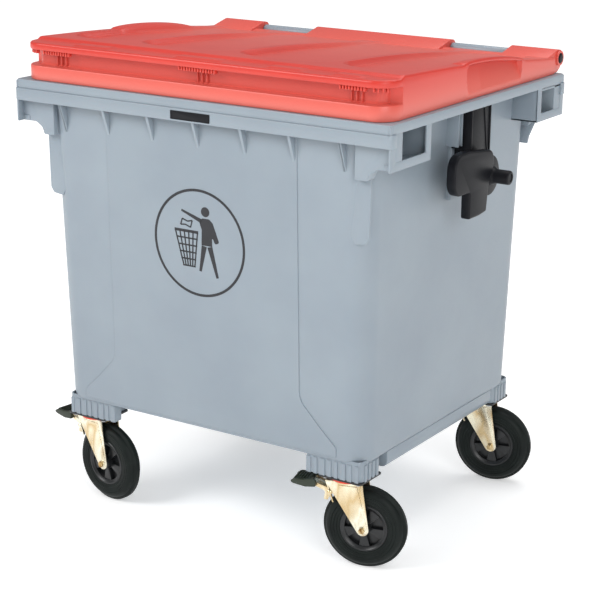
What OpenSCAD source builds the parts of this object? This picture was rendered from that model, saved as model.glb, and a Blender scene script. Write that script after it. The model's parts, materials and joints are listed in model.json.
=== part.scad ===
// Four-wheeled refuse container: moulded tub, hinged flat lid, side lifting trunnions
// and four swivel castors, the front two with pedal brakes.
// X runs along the long side, -Y is the front, +Z is up. The origin is on the ground
// under the middle of the whole container.

/* [Rim] */
// Length of the rim, left to right
rim_l = 1250; // [1100:10:1500]
// Width of the rim, front to back
rim_w = 1024; // [860:4:1230]
// Height of the rim's top face above the ground
rim_z = 1278; // [1070:4:1530]
// Height of the band that runs all round the rim
band_h = 26; // [22:1:32]
// Height of the deeper band along the front and the back
deep_band_h = 34; // [28:1:40]
// How far the deeper band stands out past the upper one
band_step = 4; // [3:1:5]
// Thickness of the rim's bands and top face
rim_wall = 6; // [5:0.5:7]

/* [Tub] */
// Thickness of the tub's walls
wall = 5; // [4:0.5:6]
// Thickness of the tub's floor
floor_t = 6; // [5:0.5:8]
// Overhang of the rim past the side walls
side_overhang = 85; // [78:1:92]
// Overhang of the rim past the front and back walls
end_overhang = 34; // [30:1:40]
// How far each side wall leans in from the rim to the base
side_taper = 20; // [12:1:28]
// How far the front and back walls lean in from the rim to the base
end_taper = 30; // [20:1:40]
// Radius of the tub's upright corners
corner_r = 70; // [60:1:80]
// Number of gussets under the front and back of the rim
gussets = 7; // [5:1:9]
// Spacing of those gussets
gusset_pitch = 155; // [110:1:160]
// Length of a gusset down the wall, below the deep band
gusset_drop = 80; // [60:1:100]
// Half width of the raised panel on the front and back
panel_half_w = 320; // [280:5:340]
// Height that the panel stands proud of the wall
panel_rise = 2; // [1.5:0.5:3]
// Length of the nameplate on the front rim
badge_l = 130; // [100:5:160]
// Height of the nameplate
badge_h = 24; // [20:1:26]

/* [Corner pockets] */
// Depth of the pockets below the rim's top face
pocket_depth = 122; // [110:2:132]
// Length of the front pockets along the side
front_pocket_l = 210; // [180:5:230]
// Length of the rear pockets along the side
rear_pocket_l = 172; // [160:2:200]
// Thickness of the pockets' plates
pocket_wall = 6; // [5:0.5:7]
// Width of the window frame's bars
pocket_bar = 26; // [22:1:30]

/* [Base] */
// Height of the castor housings below the tub's bottom edge
housing_h = 52; // [44:1:60]
// Length of a castor housing along X
housing_l = 177; // [170:1:184]
// Width of a castor housing along Y
housing_w = 116; // [116:1:120]
// Distance from the tub's side to a castor's swivel axis, at the base
castor_inset_x = 75; // [74:1:85]
// Distance from the tub's front to a castor's swivel axis, at the base
castor_inset_y = 61; // [60:1:75]
// Clearance of the side rails above the castors' mounting faces
rail_lift = 6; // [4:1:12]

/* [Lid] */
// Thickness of the lid
lid_wall = 5; // [4:0.5:6]
// Distance of the lid's sides inside the rim
lid_inset_x = 20; // [16:1:24]
// Distance of the lid's front inside the rim
lid_inset_y = 16; // [14:1:20]
// Radius of the lid's front corners
lid_corner_r = 70; // [60:1:80]
// Height of the flange that rests on the rim
flange_h = 42; // [36:1:46]
// Height of the finger channel above the flange
channel_h = 42; // [36:1:46]
// Depth of the finger channel
channel_d = 32; // [26:1:36]
// Height of the lip above the channel
lip_h = 20; // [16:1:24]
// Height of the lid's top behind the lip, above the lip
crest_h = 10; // [6:1:14]
// Seating gap between the lid and the rim
lid_seat = 0.3; // [0.2:0.1:0.5]

/* [Hinge] */
// Height of the hinge axis above the rim's top face
hinge_rise = 44; // [42:1:48]
// Distance of the hinge axis in front of the rim's back face
hinge_set = 7; // [6:1:10]
// Radius of the lid's hinge sleeves
sleeve_r = 25; // [22:1:26]
// Radius of the tub's two grip tubes
grip_r = 16; // [14:1:18]
// Radius of the hinge rod
rod_r = 6; // [5:0.5:8]
// Half length of the middle sleeve
mid_sleeve = 243; // [220:1:260]
// Distance from the middle to the inner end of an outer sleeve
outer_sleeve = 447; // [430:1:470]

/* [Trunnions] */
// Distance between the tips of the two lifting pins
trunnion_span = 1370; // [1350:2:1390]
// Radius of a lifting pin
pin_r = 20; // [18:0.5:22]
// Height of the lifting pins below the rim's top face
pin_drop = 224; // [212:2:240]
// Distance of the lifting pins behind the middle
pin_y = 45; // [35:1:55]
// Width of the black lifting arm
arm_w = 116; // [110:1:120]

/* [Castors] */
// Diameter of a wheel over its tyre
wheel_d = 240; // [200:5:250]
// Width of a tyre
tyre_w = 50; // [44:1:54]
// Diameter of a tyre's seat on its hub
tyre_seat_d = 138; // [130:1:144]
// Distance of the axle behind the swivel axis
trail = 48; // [42:1:54]
// Thickness of a fork's steel
fork_t = 4; // [3.5:0.5:5]
// Turn of the front left castor at rest
yaw_front_left = -8; // [-90:1:90]
// Turn of the front right castor at rest
yaw_front_right = 15; // [-90:1:90]
// Turn of the rear left castor at rest
yaw_rear_left = 20; // [-90:1:90]
// Turn of the rear right castor at rest
yaw_rear_right = 12; // [-90:1:90]

/* [Hidden] */
$fn = 64;
// Facets of the round corners inside a hull
hull_fn = 32;
// Overlap that welds two shapes of one solid
weld = 1;
// Radial clearance of a shaft that turns in its bore
running = 0.08;
// Gap between faces of different pieces that move past each other
gap = 0.3;

tub_grey = "#a9b4bf";
lid_red = "#e0604f";
black = "#26282a";
zinc = "#e6d29c";
rubber = "#2a302f";
seal_orange = "#ec5a30";
pedal_green = "#232b1f";

// Castor stack, from the wheel up to the housing
wheel_r = wheel_d / 2;
crown_gap = 10;
crown_t = 6;
ring_h = 8;
plate_t = 6;
crown_z = wheel_d + crown_gap;
ring_z = crown_z + crown_t + gap;
plate_z = ring_z + ring_h;
mount_z = plate_z + plate_t;
plate_l = 140;
plate_w = 115;
bolt_dx = 52.5;
bolt_dy = 40;
bolt_r = 5;
bolt_head_h = 6;

// Tub outline
base_z = mount_z + housing_h;
side_top = rim_l / 2 - side_overhang;
end_top = rim_w / 2 - end_overhang;
function lean(z) = (rim_z - z) / (rim_z - base_z);
function side_x(z) = side_top - side_taper * lean(z);
function end_y(z) = end_top - end_taper * lean(z);
deep_z = rim_z - band_h - deep_band_h;
badge_t = 1.6;
castor_x = side_top - side_taper - castor_inset_x;
castor_y = end_top - end_taper - castor_inset_y;

// Hinge line
hinge_y = rim_w / 2 - hinge_set;
hinge_z = rim_z + hinge_rise;
sleeve_gap = 3;
sleeve_end = rim_l / 2 - 18;
cap_r = 15;
cap_t = 8;
grip_foot_w = 36;
// The whole container is centred front to back between the nameplate and the sleeves' back
frame_shift = (hinge_y + sleeve_r - rim_w / 2 - badge_t) / 2;

// Lid levels
lid_z = rim_z + lid_seat;
channel_z = lid_z + flange_h;
lip_z = channel_z + channel_h;
lip_top = lip_z + lip_h;
crest_z = lip_top + crest_h;
lid_front = rim_w / 2 - lid_inset_y;
lid_back = hinge_y - 33;
lid_back_z = hinge_z + 14;
lip_depth = 66;
crest_run = 16;

// Trunnion places
pad_x = side_top + 8;
pin_z = rim_z - pin_drop;
boss_r = 58;
boss_t = 74;
shield_x = pad_x + boss_t - 10;
shield_t = 28;
arm_x = pad_x + 52;
arm_wall = 5;
arm_y = pin_y - 20;
trunnion_bolt_ring = 42;

// Fork and wheel
fork_gap = tyre_w / 2 + 6;
fork_outer = fork_gap + fork_t;
axle_r = 6;
axle_boss_r = 18;
crown_r = 46;
crown_front = -62;
kingpin_r = 8;
hub_half = fork_gap - 1;
pivot_x = -48;
pivot_z = crown_z - 31;
pivot_r = 4;

castor_front_left = [-1, -1, yaw_front_left];
castor_front_right = [1, -1, yaw_front_right];
castor_rear_left = [-1, 1, yaw_rear_left];
castor_rear_right = [1, 1, yaw_rear_right];

// ---- helpers ----

// Moves a piece from the rim's centre line to the container's own frame
module in_frame() {
    translate([0, -frame_shift, 0]) children();
}

module both_sides() {
    children();
    mirror([1, 0, 0]) children();
}

module both_ends() {
    children();
    mirror([0, 1, 0]) children();
}

// Rectangle with round corners, centred
module round_rect(l, w, r) {
    square([l - 2 * r, w], center = true);
    square([l, w - 2 * r], center = true);
    for (x = [-1, 1], y = [-1, 1])
        translate([x * (l / 2 - r), y * (w / 2 - r)]) circle(r);
}

// Upright plate in a plane of constant X, drawn as (y, z) points
module plate_yz(x, t) {
    translate([x, 0, 0]) rotate([90, 0, 90]) linear_extrude(t) children();
}

// Upright plate in a plane of constant Y, drawn as (x, z) points
module plate_xz(y, t) {
    translate([0, y + t, 0]) rotate([90, 0, 0]) linear_extrude(t) children();
}

module cyl_x(x, l, r) {
    translate([x, 0, 0]) rotate([0, 90, 0]) cylinder(r = r, h = l);
}

// Tapered block between two heights, set in from the tub's outer face
module taper_block(inset, z0, z1) {
    slab = 0.5;
    r = corner_r - inset;
    hull()
        for (z = [z0, z1], x = [-1, 1], y = [-1, 1])
            translate([x * (side_x(z) - corner_r), y * (end_y(z) - corner_r),
                       z == z1 ? z - slab : z])
                cylinder(r = r, h = slab, $fn = hull_fn);
}

// ---- tub ----

module rim() {
    upper_l = rim_l - 2 * band_step;
    upper_w = rim_w - 2 * band_step;
    edge_r = 14;
    translate([0, 0, rim_z - rim_wall]) linear_extrude(rim_wall)
        round_rect(upper_l, upper_w, edge_r);
    translate([0, 0, rim_z - band_h]) linear_extrude(band_h)
        difference() {
            round_rect(upper_l, upper_w, edge_r);
            round_rect(upper_l - 2 * rim_wall, upper_w - 2 * rim_wall, edge_r - rim_wall);
        }
    // The deeper band turns a short way round each corner
    corner_return = 30;
    translate([0, 0, deep_z]) linear_extrude(deep_band_h + weld)
        difference() {
            round_rect(rim_l, rim_w, edge_r);
            round_rect(rim_l - 2 * (rim_wall + band_step - weld),
                       rim_w - 2 * (rim_wall + band_step - weld), edge_r - rim_wall);
            square([rim_l + 2, rim_w - 2 * corner_return], center = true);
        }
}

// Triangular gusset between the deep band and the wall
module gusset(x) {
    t = 8;
    out = -rim_w / 2 + band_step + weld;
    plate_yz(x - t / 2, t)
        polygon([[out, rim_z - weld], [-end_y(rim_z) + wall / 2, rim_z - weld],
                 [-end_y(deep_z - gusset_drop) + wall / 2, deep_z - gusset_drop],
                 [-end_y(deep_z - gusset_drop), deep_z - gusset_drop],
                 [out, deep_z]]);
}

// Raised panel on the front wall, widening at its foot
module front_panel() {
    top_z = deep_z - 10;
    flare_z = base_z + 155;
    foot_z = base_z + 40;
    foot_half_w = panel_half_w + 115;
    tilt = atan(end_taper / (rim_z - base_z));
    translate([0, -end_y(base_z), base_z]) rotate([90 + tilt, 0, 0])
        translate([0, 0, -weld])
            linear_extrude(panel_rise + weld)
                polygon([[-panel_half_w, top_z - base_z], [panel_half_w, top_z - base_z],
                         [panel_half_w, flare_z - base_z], [foot_half_w, foot_z - base_z],
                         [foot_half_w, 0.5], [-foot_half_w, 0.5],
                         [-foot_half_w, foot_z - base_z], [-panel_half_w, flare_z - base_z]]);
}

// Fin that squares off the tub's rounded corner under the rim
module corner_fin() {
    t = 6;
    fin_top = rim_z - pocket_depth + weld;
    fin_foot = fin_top - 215;
    y = -end_y(fin_foot) + 2;
    inner = side_top - corner_r;
    plate_xz(y, t)
        polygon([[inner, fin_top], [side_x(fin_top) + 4, fin_top],
                 [side_x(fin_foot) + 4, fin_foot + 14], [side_x(fin_foot) - 20, fin_foot],
                 [inner, fin_foot]]);
}

// Open box under a corner of the rim, with a window in its outer side.
// y0 is its end at the corner and y1 its other end, both towards -Y.
module pocket(y0, y1, with_bar) {
    x1 = rim_l / 2 - band_step;
    foot = rim_z - pocket_depth;
    inner = side_x(foot) - wall / 2;
    web_drop = 30;
    // Side frame with its window
    plate_yz(x1 - pocket_wall, pocket_wall)
        difference() {
            polygon([[y0, foot], [y1, foot], [y1, rim_z - weld], [y0, rim_z - weld]]);
            translate([y0 + pocket_bar, foot + pocket_bar])
                square([y1 - y0 - 2 * pocket_bar, pocket_depth - pocket_bar - rim_wall - 4]);
        }
    if (with_bar)
        translate([x1 - pocket_wall, y0 + pocket_bar - weld, rim_z - rim_wall - 28])
            cube([pocket_wall, y1 - y0 - 2 * pocket_bar + 2 * weld, pocket_wall]);
    // Floor
    translate([inner, y0, foot]) cube([x1 - inner, y1 - y0, pocket_wall]);
    // End plates; the one at the corner curves down to the tub
    for (y = [y0, y1 - pocket_wall])
        translate([inner, y, foot]) cube([x1 - inner, pocket_wall, pocket_depth - weld]);
    web_in = side_top - corner_r - 10;
    plate_xz(y0 + 22, pocket_wall)
        polygon([[web_in, rim_z - weld], [x1 - weld, rim_z - weld], [x1 - weld, foot],
                 [inner + 26, foot], [inner + 10, foot - web_drop / 2],
                 [inner + 4, foot - web_drop], [web_in, foot - web_drop]]);
}

// Ribbed box that carries one castor, in the corner towards +X and -Y. It reaches
// further towards the tub's middle than towards its side.
module housing() {
    rib = 4;
    ribs = 7;
    depth = 3;
    round_r = 38;
    mid_x = plate_l / 2 + 2 - housing_l / 2;
    pitch = (housing_l - 2 * round_r) / (ribs - 1);
    translate([castor_x, -castor_y, mount_z]) {
        translate([mid_x, 0, 0]) difference() {
            linear_extrude(housing_h + weld) round_rect(housing_l, housing_w, round_r);
            translate([0, 0, -weld]) linear_extrude(housing_h - wall + weld)
                round_rect(housing_l - 2 * wall, housing_w - 2 * wall, round_r - wall);
        }
        // Bosses for the castor's bolts
        for (x = [-1, 1], y = [-1, 1])
            translate([x * bolt_dx, y * bolt_dy, 0])
                difference() {
                    cylinder(r = 11, h = housing_h);
                    translate([0, 0, -weld]) cylinder(r = bolt_r + 0.1, h = 40 + weld);
                }
        // Outer ribs on the front
        for (i = [0 : ribs - 1])
            translate([mid_x + i * pitch - housing_l / 2 + round_r - rib / 2,
                       -housing_w / 2 - depth, 0])
                cube([rib, depth + weld, housing_h + weld]);
    }
}

// Hollow rail along the tub's bottom edge between the front and rear castors
module side_rail() {
    run = castor_y - housing_w / 2 - 14;
    depth = 46;
    round_r = 20;
    x1 = side_x(base_z) - 1;
    foot = mount_z + rail_lift;
    plate_xz(-run, 2 * run)
        difference() {
            union() {
                translate([x1 - depth, foot + round_r]) square([depth, base_z - foot - round_r + weld]);
                translate([x1 - depth, foot]) square([depth - round_r, round_r + weld]);
                translate([x1 - round_r, foot + round_r]) circle(round_r);
            }
            translate([x1 - depth + wall, foot - weld])
                square([depth - 2 * wall - 8, base_z - foot - wall]);
        }
}

// One grip tube on two feet, which the hinge rod passes through
module grip_tube() {
    x0 = mid_sleeve + sleeve_gap;
    l = outer_sleeve - mid_sleeve - 2 * sleeve_gap;
    translate([0, hinge_y, hinge_z]) cyl_x(x0, l, grip_r);
    for (x = [x0, x0 + l - grip_foot_w])
        translate([x, hinge_y - 25, rim_z - weld])
            cube([grip_foot_w, 25, hinge_rise + weld]);
}

// Flat pad on the side wall behind a trunnion, with the hollow stiffener beside the arm
module trunnion_pad() {
    pad_top = rim_z - rim_wall + weld;
    pad_foot = pin_z - boss_r - 8;
    x0 = side_x(pad_foot) - wall / 2;
    translate([x0, arm_y - arm_w / 2 - 12, pad_foot])
        cube([pad_x - x0, arm_w + 34, pad_top - pad_foot]);
    stiff_w = 30;
    stiff_y = arm_y - arm_w / 2 - 4 - stiff_w;
    stiff_foot = pin_z + 90;
    difference() {
        translate([x0, stiff_y, stiff_foot])
            cube([arm_x - x0, stiff_w, pad_top - stiff_foot]);
        translate([pad_x, stiff_y + 5, stiff_foot - weld])
            cube([arm_x - pad_x - 5, stiff_w - 10, pad_top - stiff_foot - 10]);
    }
}

module trunnion_bolt_places() {
    for (a = [45 : 90 : 315])
        translate([0, pin_y + trunnion_bolt_ring * cos(a), pin_z + trunnion_bolt_ring * sin(a)])
            children();
}

module tub() {
    color(tub_grey) in_frame() difference() {
        union() {
            difference() {
                union() {
                    taper_block(0, base_z, rim_z);
                    rim();
                    both_ends()
                        for (i = [0 : gussets - 1]) gusset((i - (gussets - 1) / 2) * gusset_pitch);
                    both_ends() front_panel();
                    both_sides() {
                        both_ends() corner_fin();
                        pocket(-rim_w / 2 + band_step, -rim_w / 2 + band_step + front_pocket_l, false);
                        mirror([0, 1, 0])
                            pocket(-rim_w / 2 + band_step, -rim_w / 2 + band_step + rear_pocket_l, true);
                        both_ends() housing();
                        side_rail();
                        trunnion_pad();
                    }
                }
                taper_block(wall, base_z + floor_t, rim_z + weld);
            }
            both_sides() grip_tube();
        }
        both_sides() translate([0, hinge_y, hinge_z])
            cyl_x(mid_sleeve, outer_sleeve - mid_sleeve, rod_r + running);
        both_sides() trunnion_bolt_places()
            cyl_x(side_x(pin_z) - 20, pad_x - side_x(pin_z) + 40, bolt_r + 0.1);
    }
}

module badge() {
    color(black) in_frame()
        translate([0, -rim_w / 2, deep_z + deep_band_h / 2]) rotate([90, 0, 0])
            linear_extrude(badge_t) round_rect(badge_l, badge_h, 2);
}

// ---- lid and hinge ----

// Side view of the lid, set in from its outer face
module lid_side(inset) {
    f = -lid_front + inset;
    polygon([[f, lid_z - weld], [f, lip_top - inset], [f + lip_depth, lip_top - inset],
             [f + lip_depth + crest_run, crest_z - inset], [lid_back - inset, lid_back_z - inset],
             [lid_back - inset, lid_z - weld]]);
}

// Outline of the lid from above, set in from its outer face, square at the back
module lid_plan(inset) {
    half = rim_l / 2 - lid_inset_x - inset;
    r = lid_corner_r - inset;
    translate([0, (lid_back - lid_front) / 2])
        round_rect(2 * half, lid_back + lid_front - 2 * inset, r);
    translate([-half, 0]) square([2 * half, lid_back - inset]);
}

module lid_block(inset, z0) {
    intersection() {
        translate([0, 0, z0]) linear_extrude(crest_z - z0 + weld) lid_plan(inset);
        plate_yz(-rim_l / 2, rim_l) lid_side(inset);
    }
}

// Slope of the lid's top from the crest down to the hinge
lid_fall = atan((crest_z - lid_back_z) / (lid_back + lid_front - lip_depth - crest_run));

// Shallow panel sunk into the lid's top between two ridges
module lid_bay(x0, x1) {
    sink = 2.5;
    front = -lid_front + lip_depth + crest_run + 40;
    translate([x0, front, crest_z - (front + lid_front - lip_depth - crest_run) * tan(lid_fall)])
        rotate([-lid_fall, 0, 0])
            translate([0, 0, -sink]) cube([x1 - x0, lid_back - front - 40, 2 * sink]);
}

// Finger channel round the front, between the flange and the lip
module lid_channel() {
    run = 74;
    translate([0, 0, channel_z]) linear_extrude(channel_h)
        difference() {
            translate([-rim_l / 2, -lid_front - weld]) square([rim_l, run]);
            lid_plan(channel_d);
        }
}

// Scooped hand recess in the lid's side
module side_scoop() {
    scoop_l = 230;
    scoop_y = 90;
    depth = 16;
    x1 = rim_l / 2 - lid_inset_x;
    translate([x1 - depth, scoop_y - scoop_l / 2, channel_z - 14]) cube([depth + weld, scoop_l, 40]);
}

// Wall behind a cut, so that the lid stays closed there
module lid_backing() {
    intersection() {
        lid_block(0, lid_z);
        translate([0, 0, channel_z - lid_wall]) linear_extrude(channel_h + 2 * lid_wall)
            difference() {
                translate([-rim_l / 2, -lid_front - weld]) square([rim_l, 74 + lid_wall]);
                lid_plan(channel_d + lid_wall);
            }
    }
    scoop_x = rim_l / 2 - lid_inset_x - 16 - lid_wall;
    both_sides() translate([scoop_x, 90 - 115 - lid_wall, channel_z - 14 - lid_wall])
        cube([16, 230 + 2 * lid_wall, 40 + 2 * lid_wall]);
}

module lid_sleeve(x0, x1) {
    translate([0, hinge_y, hinge_z]) cyl_x(x0, x1 - x0, sleeve_r);
    plate_yz(x0, x1 - x0)
        polygon([[lid_back - lid_wall, lid_back_z], [hinge_y, hinge_z + sleeve_r],
                 [hinge_y, hinge_z - sleeve_r + 8], [lid_back - lid_wall, hinge_z - 14]]);
}

module lid() {
    color(lid_red) in_frame() difference() {
        union() {
            difference() {
                lid_block(0, lid_z);
                lid_block(lid_wall, lid_z - weld);
                for (s = [-1, 1]) {
                    lid_bay(s * 330 / 2 - 150, s * 330 / 2 + 150);
                    lid_bay(s * 465 - 112, s * 465 + 112);
                }
            }
            lid_backing();
            lid_sleeve(-mid_sleeve, mid_sleeve);
            both_sides() lid_sleeve(outer_sleeve, sleeve_end);
        }
        lid_channel();
        both_sides() side_scoop();
        translate([0, hinge_y, hinge_z]) cyl_x(-rim_l / 2, rim_l, rod_r + running);
        both_sides() translate([0, hinge_y, hinge_z])
            cyl_x(sleeve_end - cap_t + 2, cap_t, cap_r + 0.5);
    }
}

module hinge_rod() {
    color("silver") in_frame() translate([0, hinge_y, hinge_z])
        cyl_x(-sleeve_end + 2, 2 * sleeve_end - 4, rod_r);
}

module rod_cap() {
    color(black) in_frame() translate([0, hinge_y, hinge_z]) difference() {
        cyl_x(sleeve_end - cap_t + 2.3, cap_t, cap_r);
        cyl_x(sleeve_end - cap_t + 2, cap_t - 4 + gap, rod_r + running);
    }
}

// ---- trunnions, drawn for the right side ----

module lifting_arm() {
    foot = pin_z + boss_r + gap;
    h = rim_z - rim_wall - gap - foot;
    color(black) in_frame() translate([pad_x, arm_y - arm_w / 2, foot]) difference() {
        cube([arm_x - pad_x, arm_w, h]);
        translate([-weld, arm_wall, -weld])
            cube([arm_x - pad_x - arm_wall + weld, arm_w - 2 * arm_wall, h + 2 * weld]);
    }
}

module trunnion() {
    tip = trunnion_span / 2;
    shield_l = 204;
    shield_h = 114;
    shield_y = pin_y - 38 - shield_l / 2;
    tab_w = 100;
    tab_h = 95;
    tab_y = shield_y + 39;
    color(black) in_frame() difference() {
        union() {
            translate([0, pin_y, pin_z]) {
                cyl_x(pad_x, boss_t, boss_r);
                cyl_x(pad_x, tip - pad_x, pin_r);
                translate([pad_x + boss_t - weld, 0, 0]) rotate([0, 90, 0])
                    cylinder(r1 = pin_r + 7, r2 = pin_r, h = 8);
            }
            plate_yz(shield_x, shield_t) {
                translate([shield_y, pin_z + 38]) round_rect(shield_l, shield_h, 48);
                translate([tab_y - tab_w / 2, pin_z - tab_h])
                    polygon([[0, 0], [60, 0], [tab_w, 6], [tab_w, tab_h + 30], [0, tab_h + 30]]);
            }
        }
        trunnion_bolt_places() cyl_x(pad_x - weld, 22 + weld, bolt_r + 0.1);
    }
}

module trunnion_bolts() {
    head_h = 6;
    wall_in = side_x(pin_z - boss_r) - wall;
    color("silver") in_frame() trunnion_bolt_places() {
        cyl_x(wall_in - head_h, pad_x + 20 - wall_in + head_h, bolt_r);
        cyl_x(wall_in - head_h, head_h - 1.2, 9);
    }
}

// ---- castors ----

module on_castor(c) {
    in_frame() translate([c[0] * castor_x, c[1] * castor_y, 0]) children();
}

module on_fork(c) {
    on_castor(c) rotate([0, 0, c[2]]) children();
}

module castor_bolt_places() {
    for (x = [-1, 1], y = [-1, 1]) translate([x * bolt_dx, y * bolt_dy, 0]) children();
}

module castor_plate(c) {
    color(black) on_castor(c) translate([0, 0, plate_z]) difference() {
        linear_extrude(plate_t) round_rect(plate_l, plate_w, 8);
        translate([0, 0, -weld]) cylinder(r = kingpin_r + running, h = plate_t + 2 * weld);
        castor_bolt_places()
            translate([0, 0, -weld]) cylinder(r = bolt_r + 0.5, h = plate_t + 2 * weld);
    }
}

module castor_bolts(c) {
    color("silver") on_castor(c) castor_bolt_places() {
        translate([0, 0, plate_z - bolt_head_h]) cylinder(r = 9, h = bolt_head_h, $fn = 6);
        translate([0, 0, plate_z - weld]) cylinder(r = bolt_r, h = plate_t + 36);
    }
}

// Kingpin with its upper race and lower head
module kingpin(c) {
    head_t = 5;
    color(zinc) on_castor(c) {
        translate([0, 0, crown_z - gap - head_t])
            cylinder(r = kingpin_r, h = mount_z - crown_z + gap + head_t);
        translate([0, 0, ring_z]) cylinder(r = 28, h = ring_h);
        translate([0, 0, crown_z - gap - head_t]) cylinder(r = 15, h = head_t);
    }
}

module dust_ring(c) {
    color(seal_orange) on_castor(c) translate([0, 0, ring_z]) difference() {
        cylinder(r = crown_r - 2, h = ring_h);
        translate([0, 0, -weld]) cylinder(r = 28 + running, h = ring_h + 2 * weld);
    }
}

// Leg of the fork in its own plane, drawn as (x, z) points
module fork_leg_shape() {
    hull() {
        translate([crown_front, crown_z]) square([crown_r - crown_front, crown_t]);
        translate([trail, wheel_r]) circle(axle_boss_r, $fn = hull_fn);
    }
}

module fork(c) {
    color(zinc) on_fork(c) difference() {
        union() {
            translate([0, 0, crown_z]) linear_extrude(crown_t) {
                circle(crown_r);
                translate([crown_front, -fork_outer])
                    square([crown_r - crown_front, 2 * fork_outer]);
            }
            for (s = [-1, 1])
                plate_xz(s > 0 ? fork_gap : -fork_outer, fork_t) fork_leg_shape();
        }
        translate([0, 0, crown_z - weld])
            cylinder(r = kingpin_r + running, h = crown_t + 2 * weld);
        translate([trail, 0, wheel_r]) rotate([90, 0, 0])
            cylinder(r = axle_r + running, h = 4 * fork_outer, center = true);
        translate([pivot_x, 0, pivot_z]) rotate([90, 0, 0])
            cylinder(r = pivot_r + running, h = 4 * fork_outer, center = true);
    }
}

// Axle bolt with its head, its nut and two spacer sleeves
module axle(c) {
    head_h = 7;
    color(zinc) on_fork(c) translate([trail, 0, wheel_r]) rotate([90, 0, 0]) {
        cylinder(r = axle_r, h = 2 * (fork_outer + 2), center = true);
        for (s = [-1, 1])
            translate([0, 0, s * (fork_outer + head_h / 2)])
                cylinder(r = 10, h = head_h, center = true, $fn = 6);
    }
}

module hub(c) {
    bore_r = axle_r + running;
    nave_r = 20;
    rim_in = 56;
    web_t = 8;
    spokes = 5;
    spoke_t = 26;
    color(black) on_fork(c) translate([trail, 0, wheel_r]) rotate([90, 0, 0]) difference() {
        union() {
            cylinder(r = nave_r, h = 2 * hub_half, center = true);
            difference() {
                cylinder(r = tyre_seat_d / 2, h = tyre_w - 8, center = true);
                cylinder(r = rim_in, h = tyre_w, center = true);
            }
            cylinder(r = rim_in + weld, h = web_t, center = true);
            for (i = [0 : spokes - 1]) rotate([0, 0, -90 + i * 360 / spokes])
                linear_extrude(spoke_t, center = true)
                    polygon([[nave_r - 4, -5], [rim_in + weld, -16], [rim_in + weld, 16], [nave_r - 4, 5]]);
        }
        cylinder(r = bore_r, h = 3 * hub_half, center = true);
    }
}

module tyre(c) {
    seat = tyre_seat_d / 2;
    shoulder = 12;
    half = tyre_w / 2;
    color(rubber) on_fork(c) translate([trail, 0, wheel_r]) rotate([90, 0, 0])
        rotate_extrude() difference() {
            union() {
                translate([seat, -half]) square([wheel_r - seat - shoulder, tyre_w]);
                translate([seat, -half + shoulder])
                    square([wheel_r - seat, tyre_w - 2 * shoulder]);
                for (s = [-1, 1])
                    translate([wheel_r - shoulder, s * (half - shoulder)]) circle(shoulder);
            }
            // The hub's rim is narrower than the tyre, so the tyre's beads stand past it
            for (s = [-1, 1]) translate([seat - 4, s * half]) circle(8);
        }
}

// Steel lever between the fork's legs, turning on the brake pin, with the shoe at its foot
module brake_lever(c) {
    half_w = 24;
    eye_r = 10;
    shoe_drop = 27.5;
    color(zinc) on_fork(c) difference() {
        union() {
            translate([pivot_x, 0, pivot_z]) rotate([90, 0, 0])
                cylinder(r = eye_r, h = 2 * half_w + 4, center = true);
            translate([pivot_x, 0, pivot_z]) plate_xz(-half_w, 2 * half_w)
                polygon([[-50, 23], [-56, 21], [-54, 12], [-13, -3], [-21, -shoe_drop],
                         [-5, -shoe_drop], [7, -2], [5, 8]]);
        }
        translate([pivot_x, 0, pivot_z]) rotate([90, 0, 0])
            cylinder(r = pivot_r + running, h = 4 * half_w, center = true);
    }
}

// Moulded foot pad clipped over the lever's outer end
module brake_pedal(c) {
    half_w = 35;
    color(pedal_green) on_fork(c) difference() {
        plate_xz(-half_w, 2 * half_w)
            polygon([[pivot_x - 48, pivot_z + 36], [pivot_x - 40, pivot_z + 30], [pivot_x - 40, pivot_z + 6],
                     [pivot_x - 72, pivot_z + 2], [pivot_x - 108, pivot_z + 14], [pivot_x - 118, pivot_z + 22],
                     [pivot_x - 100, pivot_z + 34]]);
        // Slot for the lever
        translate([pivot_x - 58, -24.2, pivot_z - 40]) cube([40, 48.4, 100]);
    }
}

module brake_pin(c) {
    color(zinc) on_fork(c) translate([pivot_x, 0, pivot_z]) rotate([90, 0, 0]) {
        cylinder(r = pivot_r, h = 2 * (fork_outer + 1), center = true);
        for (s = [-1, 1])
            translate([0, 0, s * (fork_outer + 1.5)]) cylinder(r = 7, h = 3, center = true);
    }
}

tub();
badge();
lid();
hinge_rod();
mirror([1, 0, 0]) rod_cap();  // rod_cap_left
rod_cap();  // rod_cap_right
mirror([1, 0, 0]) lifting_arm();  // lifting_arm_left
lifting_arm();  // lifting_arm_right
mirror([1, 0, 0]) trunnion();  // trunnion_left
trunnion();  // trunnion_right
mirror([1, 0, 0]) trunnion_bolts();  // trunnion_bolts_left
trunnion_bolts();  // trunnion_bolts_right
castor_plate(castor_front_left);  // castor_plate_front_left
castor_plate(castor_front_right);  // castor_plate_front_right
castor_plate(castor_rear_left);  // castor_plate_rear_left
castor_plate(castor_rear_right);  // castor_plate_rear_right
castor_bolts(castor_front_left);  // castor_bolts_front_left
castor_bolts(castor_front_right);  // castor_bolts_front_right
castor_bolts(castor_rear_left);  // castor_bolts_rear_left
castor_bolts(castor_rear_right);  // castor_bolts_rear_right
kingpin(castor_front_left);  // kingpin_front_left
kingpin(castor_front_right);  // kingpin_front_right
kingpin(castor_rear_left);  // kingpin_rear_left
kingpin(castor_rear_right);  // kingpin_rear_right
dust_ring(castor_front_left);  // dust_ring_front_left
dust_ring(castor_front_right);  // dust_ring_front_right
dust_ring(castor_rear_left);  // dust_ring_rear_left
dust_ring(castor_rear_right);  // dust_ring_rear_right
fork(castor_front_left);  // fork_front_left
fork(castor_front_right);  // fork_front_right
fork(castor_rear_left);  // fork_rear_left
fork(castor_rear_right);  // fork_rear_right
axle(castor_front_left);  // axle_front_left
axle(castor_front_right);  // axle_front_right
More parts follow.
